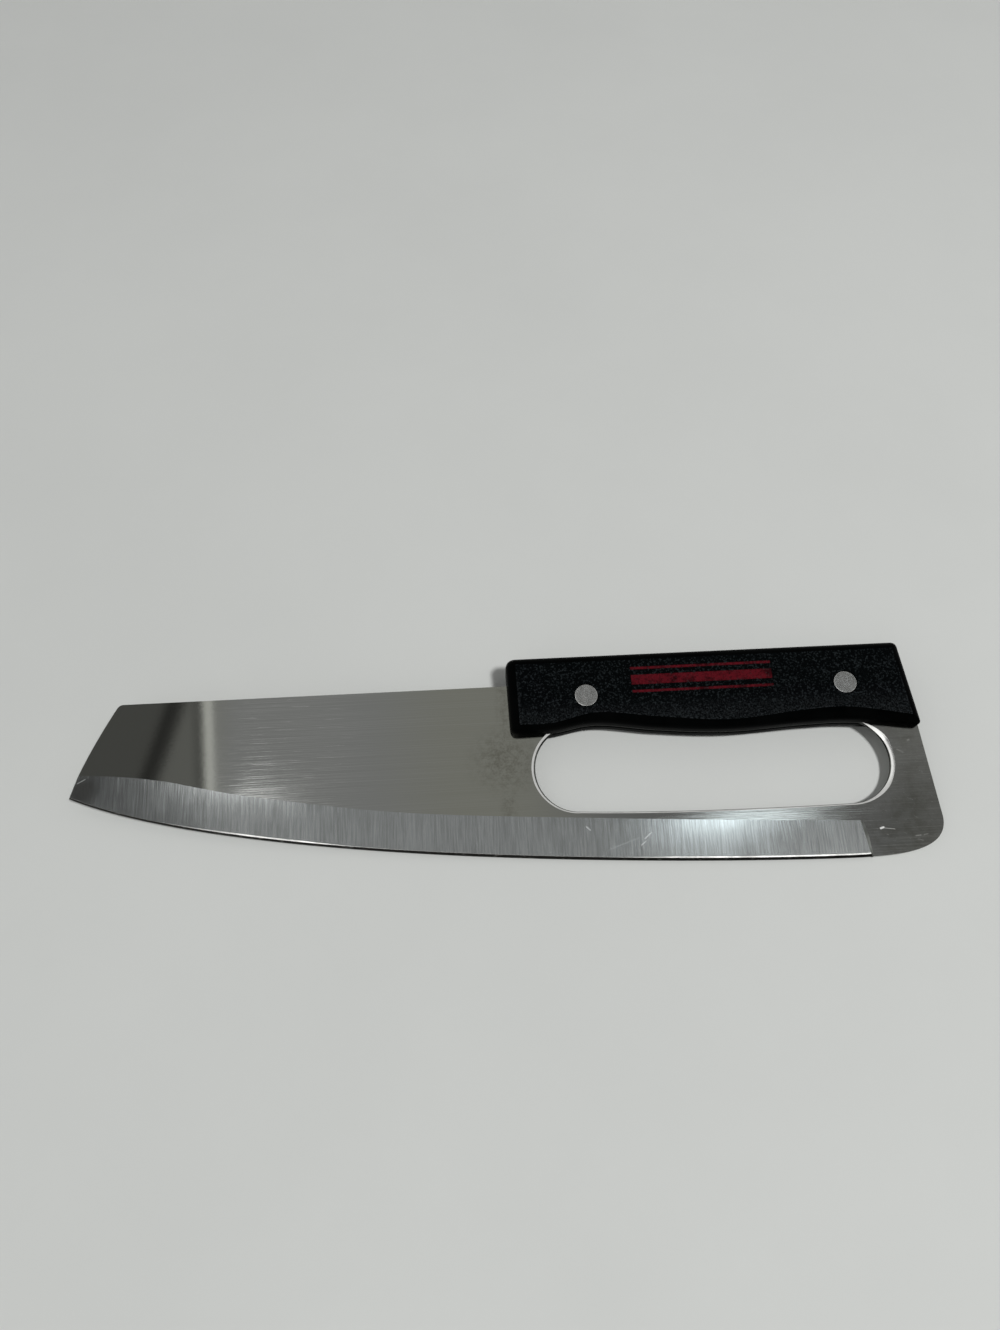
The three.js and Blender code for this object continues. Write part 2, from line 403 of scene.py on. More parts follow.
class Nodes:
    """Short way to write a node tree."""

    def __init__(self, tree: NodeTree) -> None:
        """Keeps the tree that the nodes go into."""
        self.tree = tree

    def feed(self, node: Node, inputs: dict[str | int, Any]) -> None:
        """Links sockets into a node and sets constants on it.

        Args:
            node: Node that receives them.
            inputs: Socket name or index, with a constant or with the socket that feeds it.
        """
        for key, value in inputs.items():
            if isinstance(value, NodeSocket):
                self.tree.links.new(value, node.inputs[key])
            else:
                node.inputs[key].default_value = value

    def add(self, kind: str, inputs: dict[str | int, Any] | None = None, **settings: Any) -> Node:
        """Adds a node.

        Args:
            kind: Type of the node.
            inputs: What feeds it or is set on its sockets.
            settings: Properties of the node itself.

        Returns:
            The new node.
        """
        node = self.tree.nodes.new(kind)
        for key, value in settings.items():
            setattr(node, key, value)
        self.feed(node, inputs or {})
        return node

    def drawn(self, lie: Matrix) -> NodeSocket:
        """Turns Object coordinates back to drawn millimetres.

        Args:
            lie: Matrix that laid the drawn knife on the table.

        Returns:
            The drawn place of each point of the surface.
        """
        spot, turn, size = lie.decompose()
        inputs = {"Vector": self.add("ShaderNodeTexCoord").outputs["Object"], "Location": spot,
                  "Rotation": turn.to_euler(), "Scale": size}
        return self.add("ShaderNodeMapping", inputs, vector_type="TEXTURE").outputs["Vector"]

    def maths(self, operation: str, a: Any, b: Any = 0.0, c: Any = 0.0) -> NodeSocket:
        """A sum of numbers."""
        return self.add("ShaderNodeMath", {0: a, 1: b, 2: c}, operation=operation).outputs[0]

    def product(self, *values: Any) -> NodeSocket:
        """Multiplies several numbers.

        Args:
            values: Constants or sockets.

        Returns:
            Their product.
        """
        result = values[0]
        for value in values[1:]:
            result = self.maths("MULTIPLY", result, value)
        return result

    def total(self, start: Any, *parts: tuple[Any, float]) -> NodeSocket:
        """Adds masks to a start, each times a share of its own.

        Args:
            start: Constant or socket to start from.
            parts: Masks with their shares.

        Returns:
            The sum.
        """
        for mask, share in parts:
            start = self.maths("MULTIPLY_ADD", mask, share, start)
        return start

    def largest(self, *masks: NodeSocket) -> NodeSocket:
        """Picks the largest of several masks at each place.

        Args:
            masks: The masks.

        Returns:
            One mask that holds them all.
        """
        result = masks[0]
        for mask in masks[1:]:
            result = self.maths("MAXIMUM", result, mask)
        return result

    def vectors(self, operation: str, a: Any, b: Any, c: Any = (0.0, 0.0, 0.0)) -> Node:
        """A sum of vectors."""
        return self.add("ShaderNodeVectorMath", {0: a, 1: b, 2: c}, operation=operation)

    def stretch(self, vector: Any, pitch: Any) -> NodeSocket:
        """A vector with each part scaled on its own."""
        return self.vectors("MULTIPLY", vector, pitch).outputs["Vector"]

    def distance(self, a: Any, b: Any) -> NodeSocket:
        """Distance between two places."""
        return self.vectors("DISTANCE", a, b).outputs["Value"]

    def axes(self, vector: Any) -> list[NodeSocket]:
        """The three parts of a vector."""
        return list(self.add("ShaderNodeSeparateXYZ", {0: vector}).outputs)

    def noise(self, vector: Any, grain: Grain) -> NodeSocket:
        """Soft noise from 0 to 1."""
        inputs = {"Vector": vector, "Scale": grain.scale, "Detail": grain.detail, "Roughness": grain.rough}
        return self.add("ShaderNodeTexNoise", inputs).outputs["Fac"]

    def ramp(self, value: Any, fade: Fade, steady: bool = False) -> NodeSocket:
        """Follows a fade along a value.

        Args:
            value: Socket to follow.
            fade: Where the result changes, and from what to what.
            steady: Whether it changes evenly, without soft ends.

        Returns:
            The result.
        """
        inputs = {"Value": value, "From Min": fade.low, "From Max": fade.high,
                  "To Min": fade.start, "To Max": fade.end}
        kind = "LINEAR" if steady else "SMOOTHSTEP"
        return self.add("ShaderNodeMapRange", inputs, interpolation_type=kind).outputs["Result"]

    def band(self, value: Any, band: Band) -> NodeSocket:
        """Marks a band of a value.

        Args:
            value: Socket to follow.
            band: The range to mark.

        Returns:
            1 inside the band and 0 beyond it, with soft ends.
        """
        low, high, soft = band
        rise = self.ramp(value, Fade(low - soft, low + soft))
        return self.product(rise, self.ramp(value, Fade(high - soft, high + soft, 1.0, 0.0)))

    def blend(self, amount: Any, a: Any, b: Any) -> NodeSocket:
        """Mixes two numbers."""
        return self.add("ShaderNodeMix", {0: amount, 2: a, 3: b}, data_type="FLOAT").outputs[0]

    def mix(self, amount: Any, a: Any, b: Any) -> NodeSocket:
        """Mixes two colours.

        Args:
            amount: How much of the second colour there is.
            a: First colour, as a constant or a socket.
            b: Second colour, likewise.

        Returns:
            The mixed colour.
        """
        pair = [v if isinstance(v, NodeSocket) else (*v, 1.0) for v in (a, b)]
        node = self.add("ShaderNodeMix", {0: amount, 6: pair[0], 7: pair[1]}, data_type="RGBA")
        return node.outputs[2]

    def coats(self, colour: Any, *layers: tuple[Any, Colour]) -> NodeSocket:
        """Lays colours over another, each through its own mask.

        Args:
            colour: The colour underneath.
            layers: Masks with the colours that show through them.

        Returns:
            The colour on top.
        """
        for mask, tint in layers:
            colour = self.mix(mask, colour, tint)
        return colour

    def bump(self, height: Any, depth: float, under: NodeSocket | None = None) -> NodeSocket:
        """Raises a normal by a height.

        Args:
            height: The height, from 0 to 1.
            depth: Depth of the whole height, in metres.
            under: Normal that it lies on, if not the surface's own.

        Returns:
            The raised normal.
        """
        inputs = {"Height": height, "Distance": depth, "Strength": 1.0}
        if under is not None:
            inputs["Normal"] = under
        return self.add("ShaderNodeBump", inputs).outputs["Normal"]

    def group(self, name: str, inputs: dict[str, Any]) -> dict[str, NodeSocket]:
        """Outputs of a shared effect."""
        node = self.add("ShaderNodeGroup", inputs, node_tree=bpy.data.node_groups[name])
        return {socket.name: socket for socket in node.outputs}


@dataclass(frozen=True)
class SharedEffects:
    """Effects that more than one finish uses, each a group of nodes."""

    lines: str = "drawn_lines"
    line_grain: Grain = Grain(1.0, 3.0, 0.65)
    band_grain: Grain = Grain(0.14, 3.0, 0.65)
    scratches: str = "stray_scratches"
    scratch_grain: Grain = Grain(1.0, 1.0, 0.4)
    scratch_level: float = 0.9
    scratch_fade: Fade = Fade(0.0, 0.05)
    marks: str = "handling_marks"
    smudge_grain: Grain = Grain(1.0, 5.0, 0.62)
    smudge_fade: Fade = Fade(0.32, 0.7)
    speck_grain: Grain = Grain(14.0, 2.0, 0.5)
    speck_fade: Fade = Fade(0.68, 0.76)
    nick: str = "single_nick"
    nick_fade: Fade = Fade(1.0, 0.3)
    left_side: Fade = Fade(0.0, 0.1)

    def start(self, name: str, inputs: dict[str, str],
              outputs: Sequence[str]) -> tuple[Nodes, dict[str, NodeSocket], Node]:
        """Opens a group.

        Args:
            name: Name of the group.
            inputs: Input names with the kinds of their sockets.
            outputs: Names of the values that it puts out.

        Returns:
            The writer of its nodes, what it is given, and its output node.
        """
        tree = bpy.data.node_groups.new(name, "ShaderNodeTree")
        for label, kind in inputs.items():
            tree.interface.new_socket(name=label, in_out="INPUT", socket_type=f"NodeSocket{kind}")
        for label in outputs:
            tree.interface.new_socket(name=label, in_out="OUTPUT", socket_type="NodeSocketFloat")
        nodes = Nodes(tree)
        source = nodes.add("NodeGroupInput")
        given = {label: source.outputs[label] for label in inputs}
        return nodes, given, nodes.add("NodeGroupOutput")

    def build_lines(self) -> None:
        """Lines left by a belt or wheel: fine ones, and broader bands of them."""
        inputs = {"Vector": "Vector", "Pitch": "Vector"}
        nodes, given, out = self.start(self.lines, inputs, ("Fine", "Bands"))
        spread = nodes.stretch(given["Vector"], given["Pitch"])
        fine, bands = nodes.noise(spread, self.line_grain), nodes.noise(spread, self.band_grain)
        nodes.feed(out, {"Fine": fine, "Bands": bands})

    def build_scratches(self) -> None:
        """Single scratches that lie one way."""
        inputs = {"Vector": "Vector", "Turn": "Vector", "Pitch": "Vector", "Amount": "Float"}
        nodes, given, out = self.start(self.scratches, inputs, ("Mask",))
        turn = {"Vector": given["Vector"], "Rotation": given["Turn"]}
        turned = nodes.add("ShaderNodeMapping", turn, vector_type="POINT").outputs["Vector"]
        lines = nodes.noise(nodes.stretch(turned, given["Pitch"]), self.scratch_grain)
        level = nodes.maths("SUBTRACT", self.scratch_level, given["Amount"])
        above = nodes.maths("SUBTRACT", lines, level)
        nodes.feed(out, {"Mask": nodes.ramp(above, self.scratch_fade)})

    def build_marks(self) -> None:
        """Dull patches left by hands and cloths, and small specks."""
        inputs = {"Vector": "Vector", "Scale": "Float"}
        nodes, given, out = self.start(self.marks, inputs, ("Smudge", "Specks"))
        scaled = {0: given["Vector"], "Scale": given["Scale"]}
        place = nodes.add("ShaderNodeVectorMath", scaled, operation="SCALE").outputs["Vector"]
        smudge = nodes.ramp(nodes.noise(place, self.smudge_grain), self.smudge_fade)
        specks = nodes.ramp(nodes.noise(place, self.speck_grain), self.speck_fade)
        nodes.feed(out, {"Smudge": smudge, "Specks": specks})

    def build_nick(self) -> None:
        """One short nick on the left side, from a start along a straight run."""
        inputs = {"Vector": "Vector", "Start": "Vector", "Along": "Vector", "Width": "Float"}
        nodes, given, out = self.start(self.nick, inputs, ("Mask",))
        place, along = nodes.stretch(given["Vector"], (1.0, 1.0, 0.0)), given["Along"]
        rest = nodes.vectors("SUBTRACT", place, given["Start"]).outputs["Vector"]
        run = nodes.vectors("DOT_PRODUCT", rest, along).outputs["Value"]
        whole = nodes.vectors("DOT_PRODUCT", along, along).outputs["Value"]
        share = nodes.ramp(nodes.maths("DIVIDE", run, whole), Fade(0.0, 1.0), steady=True)
        near = nodes.vectors("MULTIPLY_ADD", along, share, given["Start"]).outputs["Vector"]
        gap = nodes.maths("DIVIDE", nodes.distance(place, near), given["Width"])
        left = nodes.ramp(nodes.axes(given["Vector"])[2], self.left_side)
        nodes.feed(out, {"Mask": nodes.product(nodes.ramp(gap, self.nick_fade), left)})

    def build(self) -> None:
        """Makes all of them."""
        for make in (self.build_lines, self.build_scratches, self.build_marks, self.build_nick):
            make()


EFFECTS = SharedEffects()


@dataclass(frozen=True)
class Finish:
    """A surface finish on the drawn knife, made into a material when it is asked for.

    Spots and runs are in drawn millimetres, the depths of bumps in metres.
    """

    name: str
    lie: Matrix

    def open(self) -> tuple[Material, Nodes, NodeSocket]:
        """Starts the material.

        Returns:
            The material, the writer of its nodes and the drawn place of the surface.
        """
        material = bpy.data.materials.new(self.name)
        material.use_nodes = True
        nodes = Nodes(material.node_tree)
        return material, nodes, nodes.drawn(self.lie)

    def close(self, nodes: Nodes, sockets: dict[str | int, Any]) -> None:
        """Hands values to the surface shader."""
        nodes.feed(nodes.tree.nodes["Principled BSDF"], sockets)

    def lines(self, nodes: Nodes, place: NodeSocket, pitch: Triple) -> dict[str, NodeSocket]:
        """Lines of a belt or wheel."""
        return nodes.group(EFFECTS.lines, {"Vector": place, "Pitch": pitch})

    def marks(self, nodes: Nodes, place: NodeSocket, scale: float) -> dict[str, NodeSocket]:
        """Marks of handling."""
        return nodes.group(EFFECTS.marks, {"Vector": place, "Scale": scale})

    def scratched(self, nodes: Nodes, place: NodeSocket, scratches: Scratches) -> NodeSocket:
        """Where stray scratches lie."""
        inputs = {"Vector": place, "Turn": (0.0, 0.0, scratches.turn), "Pitch": scratches.pitch,
                  "Amount": scratches.amount}
        return nodes.group(EFFECTS.scratches, inputs)["Mask"]

    def nicked(self, nodes: Nodes, place: NodeSocket, nicks: Sequence[Nick]) -> NodeSocket:
        """Where single nicks lie.

        Args:
            nodes: Writer of the material's nodes.
            place: Drawn place of the surface.
            nicks: The nicks.

        Returns:
            A mask from 0 to 1.
        """
        masks = []
        for nick in nicks:
            along = flat(nick.end) - flat(nick.start)
            inputs = {"Vector": place, "Start": flat(nick.start), "Along": along, "Width": nick.width}
            masks.append(nodes.product(nodes.group(EFFECTS.nick, inputs)["Mask"], nick.strength))
        return nodes.largest(*masks)


@dataclass(frozen=True)
class SatinSteel(Finish):
    """Flats of the blade: rolled bright at the tip, brushed lengthwise, stained where it was held, with
    painted highlights round the rear of the opening and at the butt.
    """

    steel: Colour = (0.50, 0.512, 0.495)
    warm: Colour = (0.50, 0.507, 0.44)
    # lighter steel: brushed streaks, wisps, scuffs and nicks, and also the painted highlights behind the
    # opening and at the butt
    worn: Colour = (0.78, 0.785, 0.77)
    stain: Colour = (0.24, 0.23, 0.18)
    brush: Triple = (0.012, 4.2, 0.0)
    brush_run: Fade = Fade(49.0, 64.0, 0.06, 1.0)
    brush_deep: float = 0.00001
    streak: Fade = Fade(0.42, 0.72)
    streak_share: float = 0.16
    fresh_run: Band = Band(58.0, 96.0, 14.0)
    fresh_share: float = 0.5
    wisp: Scratches = Scratches(0.02, (0.07, 1.7, 0.0), 0.24)
    wisp_share: float = 0.5
    warm_front: Band = Band(118.0, 172.0, 20.0)
    warm_rear: Fade = Fade(272.0, 296.0)
    warm_rear_share: float = 0.5
    warm_tip: Fade = Fade(58.0, 44.0)
    warm_tip_share: float = 0.6
    stain_spot: Triple = (151.2, -27.6, 0.9)
    stain_reach: Fade = Fade(17.0, 2.0)
    # a darker mottled band along the front end of the handle
    dark_beside: Band = Band(149.0, 154.0, 1.6)
    beside_share: float = 0.7
    stain_share: float = 0.62
    mottle_grain: Grain = Grain(0.6, 6.0, 0.75)
    mottle: Fade = Fade(0.36, 0.68)
    cloud_grain: Grain = Grain(0.28, 5.0, 0.7)
    cloud: Fade = Fade(0.35, 0.7)
    cloud_run: Fade = Fade(262.0, 282.0, 0.0, 0.4)
    # painted highlight: lighter steel towards the butt end
    butt_highlight_run: Fade = Fade(289.0, 298.0, 0.0, 0.25)
    # painted highlight: lighter steel in a ring round the rear of the opening, right of the rim
    highlight_spot: Triple = (270.2, -33.4, 0.9)
    highlight_reach: Fade = Fade(26.0, 17.0, 0.0, 0.3)
    highlight_run: Fade = Fade(268.0, 278.0)
    heel_run: Fade = Fade(268.0, 282.0, 0.0, 0.3)
    heel_scale: float = 0.16
    scuff: Scratches = Scratches(0.35, (0.4, 1.9, 0.0), 0.21)
    waver: Triple = (0.5, 2.6, 0.0)
    waver_grain: Grain = Grain(1.0, 2.0)
    waver_deep: float = 0.000002
    smudge_scale: float = 0.05
    rough: float = 0.03
    rough_smudge: float = 0.02
    rough_wisp: float = 0.12
    rough_stain: float = 0.12
    rough_heel: float = 0.2
    nicks: tuple[Nick, ...] = (
        Nick((277.6, -58.1), (278.6, -57.8), 0.5), Nick((278.6, -58.0), (282.4, -58.6), 0.22, 0.4),
        Nick((289.1, -61.2), (290.8, -61.1), 0.25, 0.25), Nick((291.9, -61.0), (293.3, -60.8), 0.25, 0.18),
        Nick((289.6, -62.4), (291.2, -62.9), 0.25, 0.12), Nick((288.6, -30.6), (290.6, -31.8), 0.35, 0.1),
        Nick((293.0, -27.5), (293.5, -27.3), 0.5, 0.14),
    )

    def material(self) -> Material:
        """Makes the material.

        Returns:
            The material.
        """
        material, nodes, place = self.open()
        x = nodes.axes(place)[0]
        fine = self.lines(nodes, place, self.brush)["Fine"]
        smudge = self.marks(nodes, place, self.smudge_scale)["Smudge"]
        brushed = nodes.ramp(x, self.brush_run)
        fresh = nodes.band(x, self.fresh_run)
        wisps = nodes.product(self.scratched(nodes, place, self.wisp), fresh)
        rear, tip = nodes.ramp(x, self.warm_rear), nodes.ramp(x, self.warm_tip)
        front = nodes.band(x, self.warm_front)
        warmed = nodes.total(front, (rear, self.warm_rear_share), (tip, self.warm_tip_share))
        amount = nodes.total(self.streak_share, (fresh, self.fresh_share))
        streaks = nodes.product(nodes.ramp(fine, self.streak), brushed, amount)
        stained = self.stains(nodes, place, x)
        clouds = nodes.ramp(nodes.noise(place, self.cloud_grain), self.cloud)
        # painted highlight round the rear of the opening
        rubbed = nodes.ramp(nodes.distance(place, self.highlight_spot), self.highlight_reach)
        heel = self.heel_marks(nodes, place, x)
        nick = self.nicked(nodes, place, self.nicks)
        colour = nodes.coats(
            self.steel,
            (warmed, self.warm),
            (streaks, self.worn),
            # the stain colour also darkens the band along the front end of the handle
            (nodes.product(stained, self.stain_share), self.stain),
            (nodes.product(wisps, self.wisp_share), self.worn),
            (nodes.product(clouds, nodes.ramp(x, self.cloud_run)), self.stain),
            # painted highlights at the butt and round the rear of the opening
            (nodes.ramp(x, self.butt_highlight_run), self.worn),
            (nodes.product(rubbed, nodes.ramp(x, self.highlight_run)), self.worn),
            (heel, self.worn),
            (nick, self.worn),
        )
        rough = nodes.total(
            self.rough,
            (nodes.product(smudge, brushed), self.rough_smudge),
            (wisps, self.rough_wisp),
            (stained, self.rough_stain),
            (heel, self.rough_heel),
        )
        normal = nodes.bump(nodes.product(fine, brushed), self.brush_deep)
        wavering = nodes.noise(nodes.stretch(place, self.waver), self.waver_grain)
        normal = nodes.bump(wavering, self.waver_deep, normal)
        bare = nodes.maths("SUBTRACT", 1.0, nick)
        self.close(nodes, {"Base Color": colour, "Metallic": bare, "Roughness": rough, "Normal": normal})
        return material

    def stains(self, nodes: Nodes, place: NodeSocket, x: NodeSocket) -> NodeSocket:
        """A mottled stain in front of the opening, and a mottled darker band along the front end of the
        handle.

        Args:
            nodes: Writer of the material's nodes.
            place: Drawn place of the surface.
            x: Its part along the spine.

        Returns:
            A mask from 0 to 1.
        """
        mottle = nodes.ramp(nodes.noise(place, self.mottle_grain), self.mottle)
        near = nodes.ramp(nodes.distance(place, self.stain_spot), self.stain_reach)
        beside = nodes.band(x, self.dark_beside)
        return nodes.largest(nodes.product(near, mottle), nodes.product(beside, mottle, self.beside_share))

    def heel_marks(self, nodes: Nodes, place: NodeSocket, x: NodeSocket) -> NodeSocket:
        """Scuffs and small scratches behind the opening, where the knife is set down.

        Args:
            nodes: Writer of the material's nodes.
            place: Drawn place of the surface.
            x: Its part along the spine.

        Returns:
            A mask from 0 to 1.
        """
        specks = self.marks(nodes, place, self.heel_scale)["Specks"]
        mask = nodes.largest(specks, self.scratched(nodes, place, self.scuff))
        return nodes.product(mask, nodes.ramp(x, self.heel_run))


@dataclass(frozen=True)
class GroundSteel(Finish):
    """Bevel of the blade: left by a wheel that ran across it, in lines square to the spine."""

    steel: Colour = (0.45, 0.47, 0.465)
    bright: Colour = (0.69, 0.72, 0.72)
    dark: Colour = (0.2, 0.2, 0.185)
    wheel: Triple = (1.9, 0.09, 0.0)
    line_tone: Fade = Fade(0.28, 0.72, 0.0, 0.75)
    line_deep: float = 0.000006
    chatter: Fade = Fade(0.3, 0.7)
    chatter_share: float = 0.25
    stray: Scratches = Scratches(-0.62, (0.09, 1.5, 0.0), 0.17)
    stray_share: float = 0.5
    dark_spot: Triple = (3.8, -30.6, 0.6)
    dark_reach: Fade = Fade(8.0, 2.0, 0.0, 0.75)
    smudge_scale: float = 0.07
    rough: float = 0.11
    rough_smudge: float = 0.05
    nicks: tuple[Nick, ...] = (
        Nick((2.3, -28.2), (4.8, -26.9), 0.3, 0.35), Nick((195.6, -59.6), (197.2, -58.3), 0.3, 0.5),
        Nick((197.0, -57.4), (199.4, -55.4), 0.35, 0.6), Nick((184.0, -60.7), (195.4, -56.9), 0.22, 0.22),
        Nick((177.4, -52.4), (178.6, -53.6), 0.4, 0.45),
    )

    def material(self) -> Material:
        """Makes the material.

        Returns:
            The material.
        """
        material, nodes, place = self.open()
        lines = self.lines(nodes, place, self.wheel)
        smudge = self.marks(nodes, place, self.smudge_scale)["Smudge"]
        chatter = nodes.ramp(lines["Bands"], self.chatter)
        tone = nodes.total(nodes.ramp(lines["Fine"], self.line_tone), (chatter, self.chatter_share))
        stray = nodes.product(self.scratched(nodes, place, self.stray), self.stray_share)
        near = nodes.ramp(nodes.distance(place, self.dark_spot), self.dark_reach)
        nick = self.nicked(nodes, place, self.nicks)
        colour = nodes.coats(
            self.steel, (tone, self.bright), (stray, self.bright), (near, self.dark), (nick, self.bright))
        rough = nodes.total(self.rough, (smudge, self.rough_smudge))
        normal = nodes.bump(lines["Fine"], self.line_deep)
        normal = nodes.bump(chatter, self.line_deep, normal)
        bare = nodes.maths("SUBTRACT", 1.0, nick)
        self.close(nodes, {"Base Color": colour, "Metallic": bare, "Roughness": rough, "Normal": normal})
        return material


@dataclass(frozen=True)
class PolishedSteel(Finish):
    """Rounded rim of the opening, polished by the hand, and the burnished strip above the edge."""

    steel: Colour = (0.93, 0.93, 0.915)
    dull: Colour = (0.82, 0.82, 0.80)
    smudge_scale: float = 0.15
    ripple: Grain = Grain(0.9, 2.0)
    ripple_deep: float = 0.000004
    rough: float = 0.14
    rough_smudge: float = 0.1

    def material(self) -> Material:
        """Makes the material.

        Returns:
            The material.
        """
        material, nodes, place = self.open()
        smudge = self.marks(nodes, place, self.smudge_scale)["Smudge"]
        colour = nodes.mix(smudge, self.steel, self.dull)
        rough = nodes.total(self.rough, (smudge, self.rough_smudge))
        normal = nodes.bump(nodes.noise(place, self.ripple), self.ripple_deep)
        self.close(nodes, {"Base Color": colour, "Metallic": 1.0, "Roughness": rough, "Normal": normal})
        return material


@dataclass(frozen=True)
class PunchedSteel(Finish):
    """Wall of the opening: sheared by the punch and tarnished since, with painted shade under the grip and
    along the middle of the plate.
    """

    steel: Colour = (0.26, 0.27, 0.255)
    tarnish: Colour = (0.14, 0.145, 0.13)
    # near-black colour of the painted shade
    shade: Colour = (0.012, 0.012, 0.011)
    smudge_scale: float = 0.3
    # painted shade under the grip
    shade_under_grip: Fade = Fade(-25.0, -21.5, 0.0, 0.85)
    # painted shade where the wall nears the middle of the plate
    deep: Fade = Fade(0.17, 0.07)
    tear: Triple = (3.0, 3.0, 0.4)
    tear_deep: float = 0.00002
    rough: float = 0.42
    rough_torn: float = 0.2

    def material(self) -> Material:
        """Makes the material.

        Returns:
            The material.
        """
        material, nodes, place = self.open()
        _, y, z = nodes.axes(place)
        smudge = self.marks(nodes, place, self.smudge_scale)["Smudge"]
        torn = nodes.noise(nodes.stretch(place, self.tear), Grain())
        # painted shade: near black under the grip and towards the middle of the plate
        deep = nodes.ramp(nodes.maths("ABSOLUTE", z), self.deep)
        shaded = nodes.largest(nodes.ramp(y, self.shade_under_grip), deep)
        colour = nodes.coats(self.steel, (smudge, self.tarnish), (shaded, self.shade))
        rough = nodes.total(self.rough, (torn, self.rough_torn))
        normal = nodes.bump(torn, self.tear_deep)
        self.close(nodes, {"Base Color": colour, "Metallic": 1.0, "Roughness": rough, "Normal": normal})
        return material


@dataclass(frozen=True)
class WhettedSteel(Finish):
    """Sharpened strip along the edge: whetted by hand, with small bright chips; its dark colour is a
    painted dark reflection.
    """

    # near-black steel: a painted dark reflection
    steel: Colour = (0.022, 0.022, 0.02)
    chip: Colour = (0.16, 0.16, 0.15)
    chipped: Fade = Fade(0.55, 0.75)
    strokes: Triple = (0.45, 0.9, 0.0)
    stroke_grain: Grain = Grain(1.0, 3.0, 0.6)
    stroke_deep: float = 0.00001
    rough: float = 0.3
    rough_stroke: float = 0.2

    def material(self) -> Material:
        """Makes the material.

        Returns:
            The material.
        """
        material, nodes, place = self.open()
        strokes = nodes.noise(nodes.stretch(place, self.strokes), self.stroke_grain)
        colour = nodes.mix(nodes.ramp(strokes, self.chipped), self.steel, self.chip)
        rough = nodes.total(self.rough, (strokes, self.rough_stroke))
        normal = nodes.bump(strokes, self.stroke_deep)
        self.close(nodes, {"Base Color": colour, "Metallic": 1.0, "Roughness": rough, "Normal": normal})
        return material


@dataclass(frozen=True)
class PebbledPlastic(Finish):
    """Face of a scale: black plastic with a moulded pebble and painted glints, and a worn print on the left
    one.
    """

    black: Colour = (0.0007, 0.0011, 0.0013)
    # lighter tone of the specks on the pebble: painted glints
    worn: Colour = (0.0150, 0.0185, 0.0200)
    # lighter tone of the specks along the ridge and towards the bottom of the face: painted glints
    ridge: Colour = (0.028, 0.031, 0.033)
    print_colour: Colour = (0.105, 0.007, 0.012)
    printed: bool = False
    bar_run: Band = Band(197.0, 247.0, 0.25)
    bar_rows: tuple[Band, ...] = (Band(1.7, 2.6, 0.2), Band(-4.0, -0.4, 0.2), Band(-7.0, -6.1, 0.2))
    print_grain: Grain = Grain(0.22, 4.0, 0.65)
    print_left: Fade = Fade(0.3, 0.55, 0.25, 1.0)
    print_low: Fade = Fade(0.75, 0.4, 0.35, 0.9)
    pebble: Grain = Grain(1.2, 3.0, 0.6)
    pebble_deep: float = 0.00016
    cell_scale: float = 1.8
    cell_smooth: float = 0.6
    cell_share: float = -0.6
    glint_grain: Grain = Grain(1.56, 2.0, 0.5)
    glint: Fade = Fade(0.5, 0.72)
    speck_grain: Grain = Grain(2.4, 2.0, 0.6)
    speck: Fade = Fade(0.45, 0.65)
    # painted glints grow towards the bottom of the face
    glint_toward_bottom: Fade = Fade(-8.0, -17.0, 0.0, 0.5)
    smudge_scale: float = 0.06
    rough: float = 0.5
    rough_smudge: float = 0.12
    shine: float = 0.025

    def material(self) -> Material:
        """Makes the material.

        Returns:
            The material.
        """
        material, nodes, place = self.open()
        cells = {"Vector": place, "Scale": self.cell_scale, "Smoothness": self.cell_smooth}
        grains = nodes.add("ShaderNodeTexVoronoi", cells, feature="SMOOTH_F1").outputs["Distance"]
        soft = nodes.noise(place, self.pebble)
        smudge = self.marks(nodes, place, self.smudge_scale)["Smudge"]
        # painted glints: lighter specks on the pebble
        glint = nodes.ramp(nodes.noise(place, self.glint_grain), self.glint)
        ridge = nodes.add("ShaderNodeAttribute", attribute_name=RIDGE).outputs["Fac"]
        specks = nodes.ramp(nodes.noise(place, self.speck_grain), self.speck)
        # where the painted glints are brighter: along the ridge and towards the bottom
        rubbed = nodes.largest(ridge, nodes.ramp(nodes.axes(place)[1], self.glint_toward_bottom))
        # black with painted glints, brighter along the ridge and towards the bottom of the face
        colour = nodes.coats(self.black, (glint, self.worn), (nodes.product(rubbed, specks), self.ridge))
        if self.printed:
            colour = nodes.mix(self.print_mask(nodes, place, soft), colour, self.print_colour)
        rough = nodes.total(self.rough, (smudge, self.rough_smudge))
        normal = nodes.bump(nodes.total(soft, (grains, self.cell_share)), self.pebble_deep)
        self.close(nodes, {"Base Color": colour, "Roughness": rough, "Normal": normal,
                           "Specular IOR Level": self.shine})
        return material

    def print_mask(self, nodes: Nodes, place: NodeSocket, soft: NodeSocket) -> NodeSocket:
        """Where the worn print still holds.

        Args:
            nodes: Writer of the material's nodes.
            place: Drawn place of the surface.
            soft: Height of the pebble, which wears the print off its tops.

        Returns:
            A mask from 0 to 1.
        """
        x, y, _ = nodes.axes(place)
        rows = nodes.largest(*(nodes.band(y, row) for row in self.bar_rows))
        rubbed = nodes.ramp(nodes.noise(place, self.print_grain), self.print_left)
        return nodes.product(nodes.band(x, self.bar_run), rows, rubbed, nodes.ramp(soft, self.print_low))


